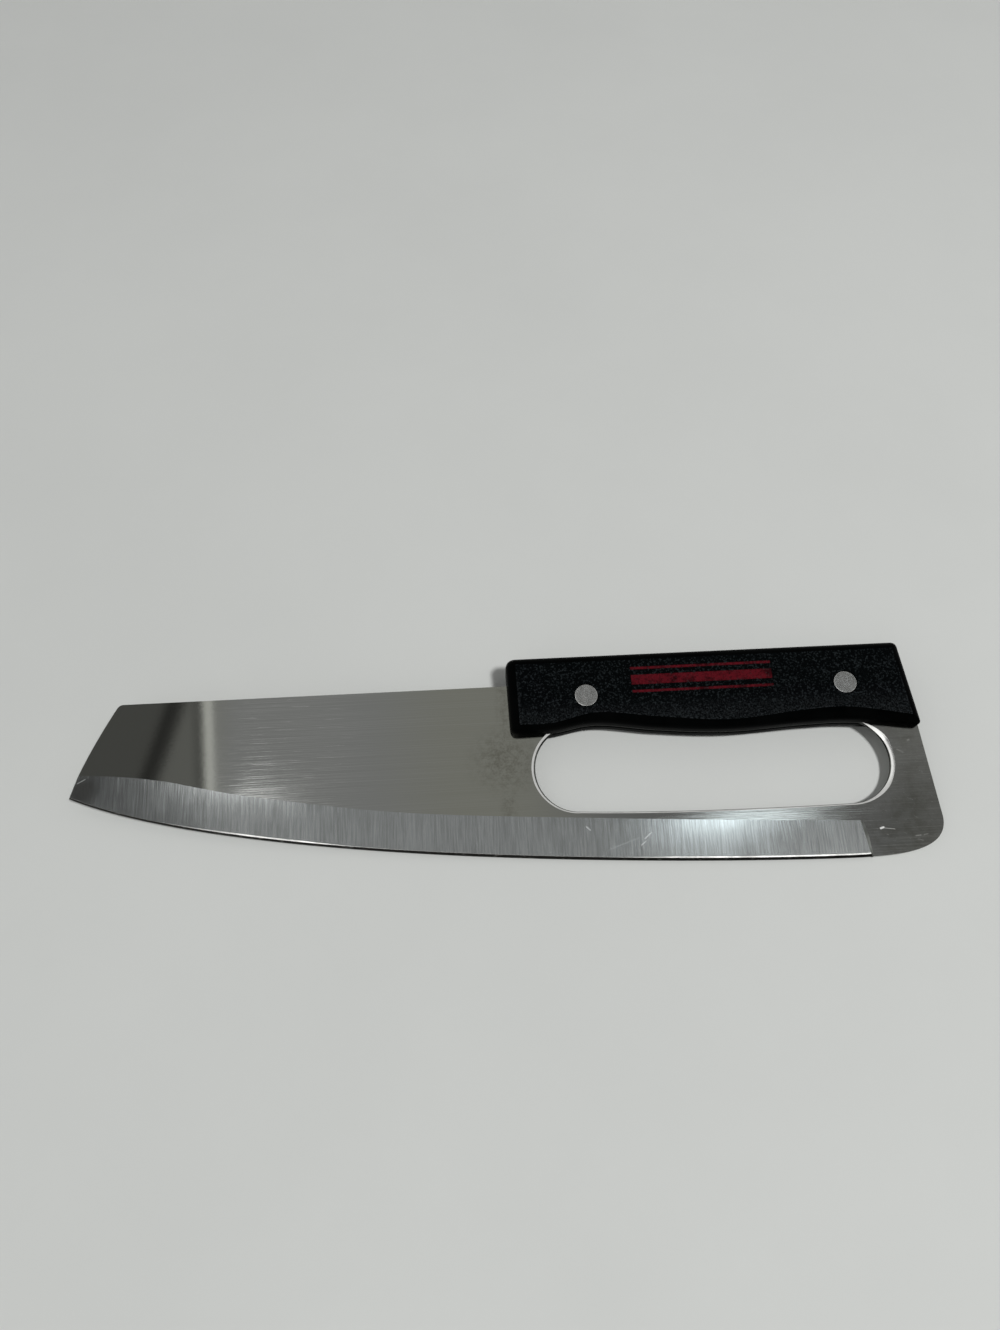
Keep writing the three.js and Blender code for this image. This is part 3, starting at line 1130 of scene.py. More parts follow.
@dataclass(frozen=True)
class SmoothPlastic(Finish):
    """Rounded border of a scale: the same plastic, moulded smooth."""

    black: Colour = (0.0005, 0.0007, 0.0007)
    rubbed: Colour = (0.0012, 0.0014, 0.0014)
    smudge_scale: float = 0.09
    ripple: Grain = Grain(0.7)
    ripple_deep: float = 0.00001
    rough: float = 0.26
    rough_smudge: float = 0.14
    shine: float = 0.007

    def material(self) -> Material:
        """Makes the material.

        Returns:
            The material.
        """
        material, nodes, place = self.open()
        smudge = self.marks(nodes, place, self.smudge_scale)["Smudge"]
        colour = nodes.mix(smudge, self.black, self.rubbed)
        rough = nodes.total(self.rough, (smudge, self.rough_smudge))
        normal = nodes.bump(nodes.noise(place, self.ripple), self.ripple_deep)
        self.close(nodes, {"Base Color": colour, "Roughness": rough, "Normal": normal,
                           "Specular IOR Level": self.shine})
        return material


@dataclass(frozen=True)
class RivetMetal(Finish):
    """Head of a rivet: matte aluminium with faint turned rings."""

    centre: Triple = (0.0, 0.0, 0.0)
    metal: Colour = (0.79, 0.795, 0.78)
    dull: Colour = (0.39, 0.395, 0.38)
    ring_grain: Grain = Grain(3.2, 2.0, 0.5)
    ring: Fade = Fade(0.35, 0.65, 0.0, 0.4)
    dent_grain: Grain = Grain(2.6, 3.0, 0.6)
    bump_deep: float = 0.000012
    smudge_scale: float = 0.45
    smudge_share: float = 0.6
    rough: float = 0.2
    rough_smudge: float = 0.06

    def material(self) -> Material:
        """Makes the material.

        Returns:
            The material.
        """
        material, nodes, place = self.open()
        radius = nodes.distance(nodes.stretch(place, (1.0, 1.0, 0.0)), self.centre)
        scale, detail, rough = self.ring_grain
        turned = {"W": radius, "Scale": scale, "Detail": detail, "Roughness": rough}
        rings = nodes.add("ShaderNodeTexNoise", turned, noise_dimensions="1D").outputs["Fac"]
        smudge = self.marks(nodes, place, self.smudge_scale)["Smudge"]
        tone = nodes.total(nodes.ramp(rings, self.ring), (smudge, self.smudge_share))
        colour = nodes.mix(tone, self.metal, self.dull)
        rough = nodes.total(self.rough, (smudge, self.rough_smudge))
        normal = nodes.bump(rings, self.bump_deep)
        normal = nodes.bump(nodes.noise(place, self.dent_grain), self.bump_deep, normal)
        self.close(nodes, {"Base Color": colour, "Metallic": 1.0, "Roughness": rough, "Normal": normal})
        return material


@dataclass(frozen=True)
class PaleTable(Finish):
    """Top of the table: plain and pale, with faint dull patches."""

    top: Colour = (0.69, 0.705, 0.685)
    dim: Colour = (0.6693, 0.68385, 0.66445)
    smudge_scale: float = 6.0
    rough: float = 0.42
    shine: float = 0.3

    def material(self) -> Material:
        """Makes the material.

        Returns:
            The material.
        """
        material, nodes, place = self.open()
        smudge = self.marks(nodes, place, self.smudge_scale)["Smudge"]
        colour = nodes.mix(smudge, self.top, self.dim)
        self.close(nodes, {"Base Color": colour, "Roughness": self.rough, "Specular IOR Level": self.shine})
        return material


@dataclass
class Piece:
    """A piece of the knife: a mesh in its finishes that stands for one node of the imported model."""

    plan: Plan
    lie: Matrix
    hard_angle: float = radians(24)

    def finish_off(self, mesh: BMesh, node: str, slot: str, materials: Sequence[Material]) -> Object:
        """Lays a drawn mesh on the table and hands it to the frame.

        Args:
            mesh: The drawn mesh, in millimetres.
            node: Node that the piece stands for.
            slot: Material slot of the record; not used.
            materials: Finishes in the order of the mesh's material indices.

        Returns:
            The finished object.
        """
        bmesh.ops.remove_doubles(mesh, verts=mesh.verts, dist=WELD)
        bmesh.ops.recalc_face_normals(mesh, faces=mesh.faces)
        crease(mesh, self.hard_angle)
        bmesh.ops.transform(mesh, matrix=self.lie, verts=mesh.verts)
        data = bpy.data.meshes.new(f"{node}_looks")
        mesh.to_mesh(data)
        mesh.free()
        for material in materials:
            data.materials.append(material)
        piece = bpy.data.objects.new(f"{node}_looks", data)
        bpy.context.scene.collection.objects.link(piece)
        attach(piece, BODY)
        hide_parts(node)
        LOG.info("%s: %d faces", piece.name, len(data.polygons))
        return piece


@dataclass
class Blade(Piece):
    """Steel blank: blade, heel and tang in one, with the hand opening and the ground bevel.

    Angles round the opening are in degrees, 0 towards the butt and -90 towards the edge.
    """

    hard_angle: float = radians(20)
    tip: Point = (-0.29, -33.4)
    tip_bow: Point = (4.3, -18.5)
    tip_steps: int = 60
    spine_corner: Point = (14.4, 0.0)
    spine_corner_radius: float = 2.6
    spine_corner_steps: int = 10
    edge: tuple[Point, ...] = ((-0.29, -33.4), (69, -64), (263, -68), (273.15, -67.42))
    edge_steps: int = 420
    heel: tuple[Point, ...] = ((273.4, -67.5), (289, -67.2), (299.69, -64.6), (299.69, -55))
    heel_steps: int = 40
    shoulder_in: float = 1.0
    back_radii: Triple = (2.8, 3.4, 1.5)
    back_steps: tuple[int, int, int] = (6, 6, 4)
    grind: tuple[Point, ...] = (
        (-12, -25), (12, -26.2), (32, -29), (62, -35.9), (116, -44.4),
        (182, -49.6), (238, -53.2), (276, -55.2),
    )
    grind_steps: int = 24
    wheel_seed: int = 5
    overrun: float = 0.035
    crown: float = 0.015
    crown_steps: int = 6
    plunge: tuple[Point, ...] = ((271.2, -54.95), (273.4, -56.6), (273.0, -60.6), (273.4, -67.5))
    plunge_steps: int = 16
    micro_width: float = 0.95
    micro_tip: float = 0.6
    micro_run: float = 400.0
    micro_half: float = 0.2
    burnish: tuple[Point, ...] = (
        (28, 0.08), (60, 0.5), (80, 0.45), (98, 0.1), (188, 0.1), (208, 0.45), (274, 0.45),
    )
    burnish_slope: float = 0.125
    opening_front: tuple[float, float, float, float] = (176.2, -31.6, 14.95, 15.3)
    opening_rear: tuple[float, float, float, float] = (270.2, -33.35, 15.3, 15.45)
    opening_bow: Point = (214.0, -49.3)
    grip_angles: Point = (120.0, 60.0)
    foot_angle: float = -90.0
    end_steps: int = 56
    bow_steps: int = 60
    under_steps: int = 90
    under_shares: Point = (0.4, 0.5)
    rise_steps: int = 27
    rim_front: float = 0.75
    rim_low: float = 0.4
    rim_rear: tuple[Point, ...] = (
        (-90, 0.4), (-66, 0.7), (-42, 1.2), (-20, 1.1), (-4, 1.2),
        (14, 1.36), (24, 1.45), (33, 1.3), (44, 0.95), (57, 0.15),
    )
    rim_slopes: Point = (22.0, 32.0)
    rim_steps: int = 4
    wall_front: float = 0.55
    wall_low: float = 0.3
    wall_under: float = 0.05
    wall_rear: tuple[Point, ...] = (
        (-90, 0.3), (-50, 0.15), (-30, 0.35), (-12, 0.5), (5, 0.6),
        (15, 0.6), (25, 0.55), (35, 0.35), (45, 0.12), (57, 0.1),
    )
    wall_turn: float = 0.45
    wall_middle: float = 0.5
    knot_steps: int = 8
    shank_steps: int = 40
    corner_round: float = 0.2
    corner_segments: int = 3
    corner_angle: float = 1.2
    corner_slack: float = 0.001
    upright_normal: float = 0.05

    def tip_line(self) -> list[Vector]:
        """Draws the corner of the spine and the bowed slope down to the tip.

        Returns:
            Points from the spine to the tip.
        """
        run, corner, bow = flat((self.plan.front_low[0], 0)), flat(self.spine_corner), flat(self.tip_bow)
        rounded = fillet(run, corner, bow, self.spine_corner_radius, self.spine_corner_steps)
        return [*rounded, *bezier((rounded[-1], bow, flat(self.tip)), self.tip_steps)[1:]]

    def back_line(self) -> list[Vector]:
        """Draws the outline from the foot of the heel round the butt and the tang to the spine.

        Returns:
            Points in that order.
        """
        plan = self.plan
        low = flat(plan.butt_low)
        butt = flat((plan.butt_top[0] - plan.tang_inset, plan.butt_top[1] - plan.tang_inset))
        shoulder = flat((plan.front_low[0] + self.shoulder_in, plan.front_top[1] - plan.tang_inset))
        foot = flat((shoulder.x, 0))
        corners = (low, butt, shoulder), (butt, shoulder, foot), (shoulder, foot, flat(self.spine_corner))
        points = [*bezier([flat(p) for p in self.heel], self.heel_steps)[1:], low]
        for corner, radius, steps in zip(corners, self.back_radii, self.back_steps):
            points += fillet(*corner, radius, steps)
        return points

    def grind_line(self) -> list[Vector]:
        """The line that the wheel was led along, at the top of the bevel."""
        return spline(self.grind, self.grind_steps)

    def rim_line(self) -> tuple[list[Vector], list[float], list[float]]:
        """Outline of the hand opening.

        Returns:
            Points clockwise from the foot of its front end, with the widths of the polished rim and of
            the leaning wall at each.
        """
        grip = self.plan.grip_line()
        front_stop, rear_start = self.grip_angles
        front = self.round_end(self.opening_front, self.foot_angle, front_stop - 360)
        rear = self.round_end(self.opening_rear, rear_start, self.foot_angle)
        bow = bezier((rear[-1], flat(self.opening_bow), front[0]), self.bow_steps)[1:-1]
        span = rear[0].x - front[-1].x
        spots = [front[-1].x + span * i / self.under_steps for i in range(1, self.under_steps)]
        under = [flat((x, height_at(grip, x) + self.plan.tang_inset)) for x in spots]
        turns = self.angles(rear_start, self.foot_angle)
        rise = [min(1.0, i / self.rise_steps) for i in range(len(front))]

        def along(low: float, high: float, hidden: float, knots: Sequence[Point]) -> list[float]:
            """A width at every point of the outline."""
            behind = spline(knots, self.knot_steps)
            return [
                *(low + (high - low) * share for share in rise),
                *[hidden] * len(under),
                *(height_at(behind, turn) for turn in turns),
                *[low] * len(bow),
            ]

        widths = along(self.rim_low, self.rim_front, self.plan.tang_inset, self.rim_rear)
        walls = along(self.wall_low, self.wall_front, self.wall_under, self.wall_rear)
        return [*front, *under, *rear, *bow], widths, walls

    def angles(self, start: float, stop: float) -> list[float]:
        """Angles of the points on one round end of the opening."""
        return [start + (stop - start) * i / self.end_steps for i in range(self.end_steps + 1)]

    def round_end(self, end: tuple[float, float, float, float], start: float, stop: float) -> list[Vector]:
        """Draws one round end of the opening.

        Args:
            end: Centre and half widths.
            start: First angle.
            stop: Last angle, further clockwise.

        Returns:
            Points from the first angle to the last.
        """
        x, y, wide, high = end
        turns = [radians(angle) for angle in self.angles(start, stop)]
        return [flat((x + wide * cos(a), y + high * sin(a))) for a in turns]

    def bevel_rows(self, start: Vector) -> list[list[Vector]]:
        """Rows of the ground bevel: its upper line, the burnished and sharpened strips and the edge.

        Args:
            start: Where the upper line leaves the slope of the tip.

        Returns:
            The four rows from tip to heel, in plan but for the height of the burnished strip.
        """
        edge = bezier([flat(p) for p in self.edge], self.edge_steps)
        line = self.grind_line()
        stretch = (self.plunge[0][0] - start.x) / (edge[-1].x - edge[0].x)
        wheel = Random(self.wheel_seed)
        upper = []
        for spot in edge:
            x = start.x + (spot.x - edge[0].x) * stretch
            upper.append(flat((x, height_at(line, x) + wheel.uniform(-1, 1) * self.overrun)))
        upper[0] = start.copy()
        upper[-1] = flat(self.plunge[0])
        worn = [flat(p) for p in self.burnish]
        burnished, sharpened = [], []
        for above, spot in zip(upper, edge):
            rise = (above - spot).normalized()
            width = self.micro_width * min(1.0, self.micro_tip + spot.x / self.micro_run)
            sharpened.append(spot + rise * width)
            strip = max(self.burnish[0][1], height_at(worn, spot.x))
            raised = Vector((0, 0, self.micro_half + self.burnish_slope * strip))
            burnished.append(spot + rise * (width + strip) + raised)
        return [upper, burnished, sharpened, edge]

    def build(self, materials: Sequence[Material]) -> Object:
        """Makes one side of the blank and mirrors it to the other.

        Args:
            materials: Finishes in the order of BladeFinish.

        Returns:
            The finished blade.
        """
        mesh = bmesh.new()
        half = self.plan.half
        slope = self.tip_line()
        line = self.grind_line()
        meet = next(i for i, p in enumerate(slope) if p.y < height_at(line, p.x))
        upper, *strips = self.bevel_rows(slope[meet])
        plunge = bezier([flat(p) for p in self.plunge], self.plunge_steps)
        outer = [*self.back_line(), *slope[:meet]]

        grind_row = Loft(mesh, lifted(upper, half), closed=False)
        plunge_row = [grind_row.row[-1], *(mesh.verts.new(p) for p in lifted(plunge[1:], half))]
        outer_row = [plunge_row[-1], *(mesh.verts.new(p) for p in lifted(outer, half)), grind_row.row[0]]
        plunge_loft = Loft(mesh, plunge_row, closed=False)
        outer_loft = Loft(mesh, outer_row, closed=False)
        border = [*grind_row.edges(), *plunge_loft.edges(), *outer_loft.edges()]

        hole, widths, walls = self.rim_line()
        rim = Loft(mesh, lifted(outward(hole, [a + b for a, b in zip(widths, walls)]), half), closed=True)
        bore = self.plan.shank_radius + self.plan.gap
        shanks = [
            Loft(mesh, circle(spot, bore, half, self.shank_steps), closed=True) for spot in self.plan.rivets
        ]
        holes = [edge for loft in (rim, *shanks) for edge in loft.edges()]
        fill(mesh, border + holes, BladeFinish.FLAT)

        self.draw_rim(rim, hole, widths, walls)
        for shank in shanks:
            shank.draw(lifted([v.co for v in shank.row], 0.0), BladeFinish.FLAT)
        outer_loft.draw(lifted([v.co for v in outer_row], 0.0), BladeFinish.FLAT)
        self.draw_bevel(mesh, grind_row, plunge_row, outer_loft.row[0], strips)

        side = mesh.verts[:] + mesh.edges[:] + mesh.faces[:]
        bmesh.ops.mirror(mesh, geom=side, matrix=Matrix.Identity(4), merge_dist=WELD, axis="Z")
        bmesh.ops.recalc_face_normals(mesh, faces=mesh.faces)
        self.ease_corners(mesh)
        return self.finish_off(mesh, "blade", "steel", materials)

    def draw_rim(self, rim: Loft, hole: Sequence[Vector], widths: Sequence[float],
                 walls: Sequence[float]) -> None:
        """Rounds the rim of the opening and takes its wall down to the middle of the plate.

        Args:
            rim: Row round the flat, at the outside of the rim.
            hole: Outline of the opening.
            widths: Width of the polished rim at each point.
            walls: How far the wall leans in at each point.
        """
        first, last = (radians(slope) for slope in self.rim_slopes)
        drop = 0.0
        for step in range(1, self.rim_steps + 1):
            drop += tan(first + (last - first) * step / self.rim_steps) / self.rim_steps
            left = 1 - step / self.rim_steps
            ring = outward(hole, [wall + width * left for width, wall in zip(widths, walls)])
            places = [flat((p.x, p.y), self.plan.half - w * drop) for p, w in zip(ring, widths)]
            for face in rim.draw(places, BladeFinish.RIM):
                # rim faces under the scales take the punched finish, with its painted shade
                if self.under_grip(face.calc_center_median()):
                    face.material_index = BladeFinish.WALL
        ring = outward(hole, [wall * self.wall_turn for wall in walls])
        middle = [flat((p.x, p.y), self.wall_middle * v.co.z) for p, v in zip(ring, rim.row)]
        rim.draw(middle, BladeFinish.WALL)
        rim.draw(lifted(hole, 0.0), BladeFinish.WALL)

    def under_grip(self, spot: Vector) -> bool:
        """Tells whether a spot of the rim lies under the scales.

        Args:
            spot: The spot, as drawn.

        Returns:
            True if the scales cover it.
        """
        front, rear = self.opening_front, self.opening_rear
        start = front[0] - self.under_shares[0] * front[2]
        stop = rear[0] + self.under_shares[1] * rear[2]
        return start < spot.x < stop and spot.y > front[1]

    def draw_bevel(self, mesh: BMesh, grind_row: Loft, plunge_row: Sequence[BMVert], foot: BMVert,
                   strips: Sequence[Sequence[Vector]]) -> None:
        """Draws the ground bevel down from its upper line and closes both of its ends.

        Args:
            mesh: Mesh of the blade.
            grind_row: Upper line of the bevel.
            plunge_row: Line where the bevel stops short of the heel.
            foot: Vertex under the foot of the heel, on the middle of the plate.
            strips: Upper line of the burnished strip, then that of the sharpened one and the edge in plan.
        """
        lower, sharpened, edge = strips
        upper = [v.co.copy() for v in grind_row.row]
        rows = []
        for step in range(1, self.crown_steps + 1):
            share = step / self.crown_steps
            raised = Vector((0, 0, 4 * self.crown * share * (1 - share)))
            rows.append(([a.lerp(b, share) + raised for a, b in zip(upper, lower)], BladeFinish.BEVEL))
        rows.append((lifted(sharpened, self.micro_half), BladeFinish.RIM))
        rows.append((lifted(edge, 0.0), BladeFinish.WHETTED))
        ends = [(grind_row.row[0], grind_row.row[-1])]
        for places, finish in rows:
            grind_row.draw(places, finish)
            ends.append((grind_row.row[0], grind_row.row[-1]))
        tip_end = Loft(mesh, [first for first, _ in ends], closed=False)
        tip_end.draw(lifted([v.co for v in tip_end.row], 0.0), BladeFinish.FLAT)
        wall = mesh.faces.new([*plunge_row, *(last for _, last in ends[:0:-1])])
        wall.material_index = BladeFinish.WALL
        bmesh.ops.triangulate(mesh, faces=[wall])
        corner = mesh.faces.new([plunge_row[-1], foot, ends[-1][1]])
        corner.material_index = BladeFinish.WALL

    def ease_corners(self, mesh: BMesh) -> None:
        """Takes the sharpness off the corners between the flats and the outer walls.

        Args:
            mesh: Mesh of the whole blade.
        """
        def upright(face: BMFace) -> bool:
            """Whether a face stands up from the plate."""
            return abs(face.normal.z) < self.upright_normal

        corners = [
            e for e in mesh.edges
            if len(e.link_faces) == 2 and upright(e.link_faces[0]) != upright(e.link_faces[1])
            and all(abs(abs(v.co.z) - self.plan.half) < self.corner_slack for v in e.verts)
            and e.calc_face_angle(0.0) > self.corner_angle
        ]
        bmesh.ops.bevel(mesh, geom=corners, offset=self.corner_round, offset_type="OFFSET",
                        segments=self.corner_segments, profile=0.5, affect="EDGES", material=-1,
                        clamp_overlap=True)


@dataclass
class Scale(Piece):
    """One side of the handle: a moulded scale with a rounded border and sunk seats for the rivets."""

    side: Side = Side.LEFT
    border_wide: float = 3.4
    border_deep: float = 4.6
    border_turn: float = radians(76)
    border_steps: int = 10
    border_swell: tuple[Point, ...] = (
        (150, 2.55), (158, 2.3), (164, 1.9), (170, 1.9), (177, 2.25), (184, 2.7), (195, 2.9), (206, 2.9),
        (231, 2.5), (250, 3.2), (271, 3.7), (298, 1.9),
    )
    swell_steps: int = 12
    corners: tuple[float, float, float, float] = (3.8, 3.0, 1.1, 2.8)
    corner_steps: tuple[int, int, int, int] = (8, 6, 6, 8)
    corner_lead: float = 1.0
    least_corner: float = 0.3
    meet_rounds: int = 4
    ridge_share: float = 0.3
    ridge_drop: float = 0.06
    # the ridge row carries painted glints from this height down
    ridge_glint_below: float = -6.0
    ridge_glint_fade: float = 6.0
    draw_in: float = 0.02
    grip_steps: int = 120
    bore_steps: int = 64

    @staticmethod
    def end_point(low: Point, top: Point, shift: float, y: float) -> Vector:
        """A point at one height of an end of the handle, shifted along the handle."""
        run = (y - low[1]) / (top[1] - low[1])
        return flat((low[0] + (top[0] - low[0]) * run + shift, y))

    def outline(self, share: float) -> list[Vector]:
        """Outline of the scale, drawn in by a share of its rounded border.

        Args:
            share: 0 at the wall, 1 at the flat face.

        Returns:
            Points in the same order and number for every share.
        """
        plan = self.plan
        inward = self.draw_in + self.border_wide * share
        line = plan.grip_line()
        swell = spline(self.border_swell, self.swell_steps)
        front = partial(self.end_point, plan.front_low, plan.front_top, inward)
        butt = partial(self.end_point, plan.butt_low, plan.butt_top, -inward)

        def grip(x: float) -> Vector:
            """A point of the wavy underside."""
            return flat((x, height_at(line, x) + self.draw_in + height_at(swell, x) * share))

        front_top = front(plan.front_top[1] - inward)
        front_low = front(grip(plan.front_low[0] + inward).y)
        butt_top = butt(plan.butt_top[1] - inward)
        butt_low = butt(plan.butt_low[1] + inward)
        for _ in range(self.meet_rounds):
            butt_low = butt(grip(butt_low.x).y)
        runs = (
            (butt_top, front_top, front_low),
            (front_top, front_low, grip(front_low.x + self.corner_lead)),
            (grip(butt_low.x - self.corner_lead), butt_low, butt_top),
            (butt_low, butt_top, front_top),
        )
        rounded = [
            fillet(*run, max(radius - inward, self.least_corner), steps)
            for run, radius, steps in zip(runs, self.corners, self.corner_steps)
        ]
        start, stop = rounded[1][-1].x, rounded[2][0].x
        spots = [start + (stop - start) * i / self.grip_steps for i in range(1, self.grip_steps)]
        return [*rounded[0], *rounded[1], *(grip(x) for x in spots), *rounded[2], *rounded[3]]

    def build(self, materials: Sequence[Material]) -> Object:
        """Makes the scale on the left side and mirrors it over for the right.

        Args:
            materials: Finishes in the order of ScaleFinish.

        Returns:
            The finished scale.
        """
        mesh = bmesh.new()
        # vertex layer that marks the ridge for its painted glints
        worn = mesh.verts.layers.float.new(RIDGE)
        plan = self.plan
        base = plan.half + plan.gap
        ridge = plan.face - self.ridge_drop
        wall = ridge - self.border_deep
        skin = Loft(mesh, lifted(self.outline(0.0), base), closed=True)
        rest = skin.edges()
        skin.draw(lifted(self.outline(0.0), wall), ScaleFinish.BORDER)
        for step in range(1, self.border_steps + 1):
            turn = self.border_turn * step / self.border_steps
            share = (1 - cos(turn)) / (1 - cos(self.border_turn))
            rise = sin(turn) / sin(self.border_turn)
            skin.draw(lifted(self.outline(share), wall + self.border_deep * rise), ScaleFinish.BORDER)
        # painted glints along the ridge, towards the bottom of the scale
        for vert in skin.row:
            vert[worn] = min(1.0, max(0.0, (self.ridge_glint_below - vert.co.y) / self.ridge_glint_fade))
        skin.draw(lifted(self.outline(1 + self.ridge_share), plan.face), ScaleFinish.FACE)
        for vert in skin.row:
            vert[worn] = 0.0
        face = skin.edges()
        seat = plan.face - plan.head_sink - plan.head_deep - plan.gap
        wide, narrow = plan.head_radius + plan.gap, plan.shank_radius + plan.gap
        for spot in plan.rivets:
            bore = Loft(mesh, circle(spot, wide, plan.face, self.bore_steps), closed=True)
            face += bore.edges()
            for radius, height in ((wide, seat), (narrow, seat), (narrow, base)):
                bore.draw(circle(spot, radius, height, self.bore_steps), ScaleFinish.BORDER)
            rest += bore.edges()
        fill(mesh, face, ScaleFinish.FACE)
        fill(mesh, rest, ScaleFinish.BORDER)
        if self.side is Side.RIGHT:
            bmesh.ops.scale(mesh, vec=(1, 1, -1), verts=mesh.verts)
        node = f"{self.side.name.lower()}_scale"
        return self.finish_off(mesh, node, "scale_plastic", materials)


@dataclass
class Rivet(Piece):
    """A two-part rivet: a headed sleeve from the left and a headed pin from the right."""

    place: Place = Place.FRONT
    sleeve_gap: float = 0.1
    sleeve_short: float = 0.6
    sleeve_roof: float = 1.0
    pin_short: float = 2.5
    pin_taper: Point = (0.4, 0.6)
    head_round: float = 0.3
    round_steps: int = 5
    steps: int = 72

    @property
    def centre(self) -> Vector:
        """Where the rivet's axis meets the middle of the plate."""
        return flat(self.plan.front_rivet if self.place is Place.FRONT else self.plan.rear_rivet)

    def head(self) -> list[Point]:
        """Draws half a head.

        Returns:
            Radius and height of its profile, from under its rim to its middle.
        """
        plan = self.plan
        top = plan.face - plan.head_sink
        foot = top - plan.head_deep
        rounding = [pi / 2 * i / self.round_steps for i in range(self.round_steps + 1)]
        rim = [
            (plan.head_radius - self.head_round * (1 - cos(a)), top - self.head_round * (1 - sin(a)))
            for a in rounding
        ]
        return [(plan.head_radius, foot), *rim, (0.0, top)]

    def build(self, materials: Sequence[Material]) -> list[Object]:
        """Turns both halves.

        Args:
            materials: The metal.

        Returns:
            The sleeve and the pin.
        """
        plan = self.plan
        foot = plan.face - plan.head_sink - plan.head_deep
        bore, roof = plan.pin_radius + self.sleeve_gap, foot - self.sleeve_roof
        sleeve_end, pin_end = self.sleeve_short - foot, self.pin_short - foot
        inward, onward = self.pin_taper
        sleeve = [(0, roof), (bore, roof), (bore, sleeve_end), (plan.shank_radius, sleeve_end),
                  (plan.shank_radius, foot), *self.head()]
        pin = [(0, pin_end), (plan.pin_radius - inward, pin_end), (plan.pin_radius, pin_end + onward),
               (plan.pin_radius, foot), *self.head()]
        name = self.place.value
        return [
            self.turn(sleeve, f"{name}_rivet_sleeve", Side.LEFT, materials),
            self.turn(pin, f"{name}_rivet_pin", Side.RIGHT, materials),
        ]

    def turn(self, profile: Sequence[Point], node: str, side: Side,
             materials: Sequence[Material]) -> Object:
        """Spins a half profile about the rivet's axis.

        Args:
            profile: Radius and height of each point.
            node: Node that the half stands for.
            side: Side that its head lies on.
            materials: The metal.

        Returns:
            The finished half.
        """
        mesh = bmesh.new()
        outline = Loft(mesh, [Vector((r, 0, z * side.value)) for r, z in profile], closed=False)
        bmesh.ops.spin(mesh, geom=outline.row + outline.edges(), cent=(0, 0, 0), axis=(0, 0, 1),
                       dvec=(0, 0, 0), angle=2 * pi, steps=self.steps, use_merge=True, use_duplicate=False)
        bmesh.ops.translate(mesh, vec=self.centre, verts=mesh.verts)
        return self.finish_off(mesh, node, "rivet_metal", materials)


@dataclass(frozen=True)
class Lamp:
    """A soft box that looks at one spot and stays out of the mirror of the steel."""

    name: str
    place: Triple
    aim: Triple
    size: Point
    watts: float

    def build(self) -> None:
        """Hangs the lamp."""
        data = bpy.data.lights.new(self.name, "AREA")
        data.shape = "RECTANGLE"
        data.size, data.size_y = self.size
        data.energy = self.watts
        lamp = bpy.data.objects.new(self.name, data)
        look = (Vector(self.aim) - Vector(self.place)).to_track_quat("-Z", "Y").to_matrix().to_4x4()
        lamp.matrix_world = Matrix.Translation(self.place) @ look
        lamp.visible_glossy = False
        bpy.context.scene.collection.objects.link(lamp)


@dataclass(frozen=True)
class SoftField:
    """A soft rectangle in the surroundings, and how much light it adds or takes."""

    across: Band
    away: Band
    level: float

    def part(self, nodes: Nodes, x: NodeSocket, y: NodeSocket) -> tuple[NodeSocket, float]:
        """The field's mask and level."""
        return nodes.product(nodes.band(x, self.across), nodes.band(y, self.away)), self.level


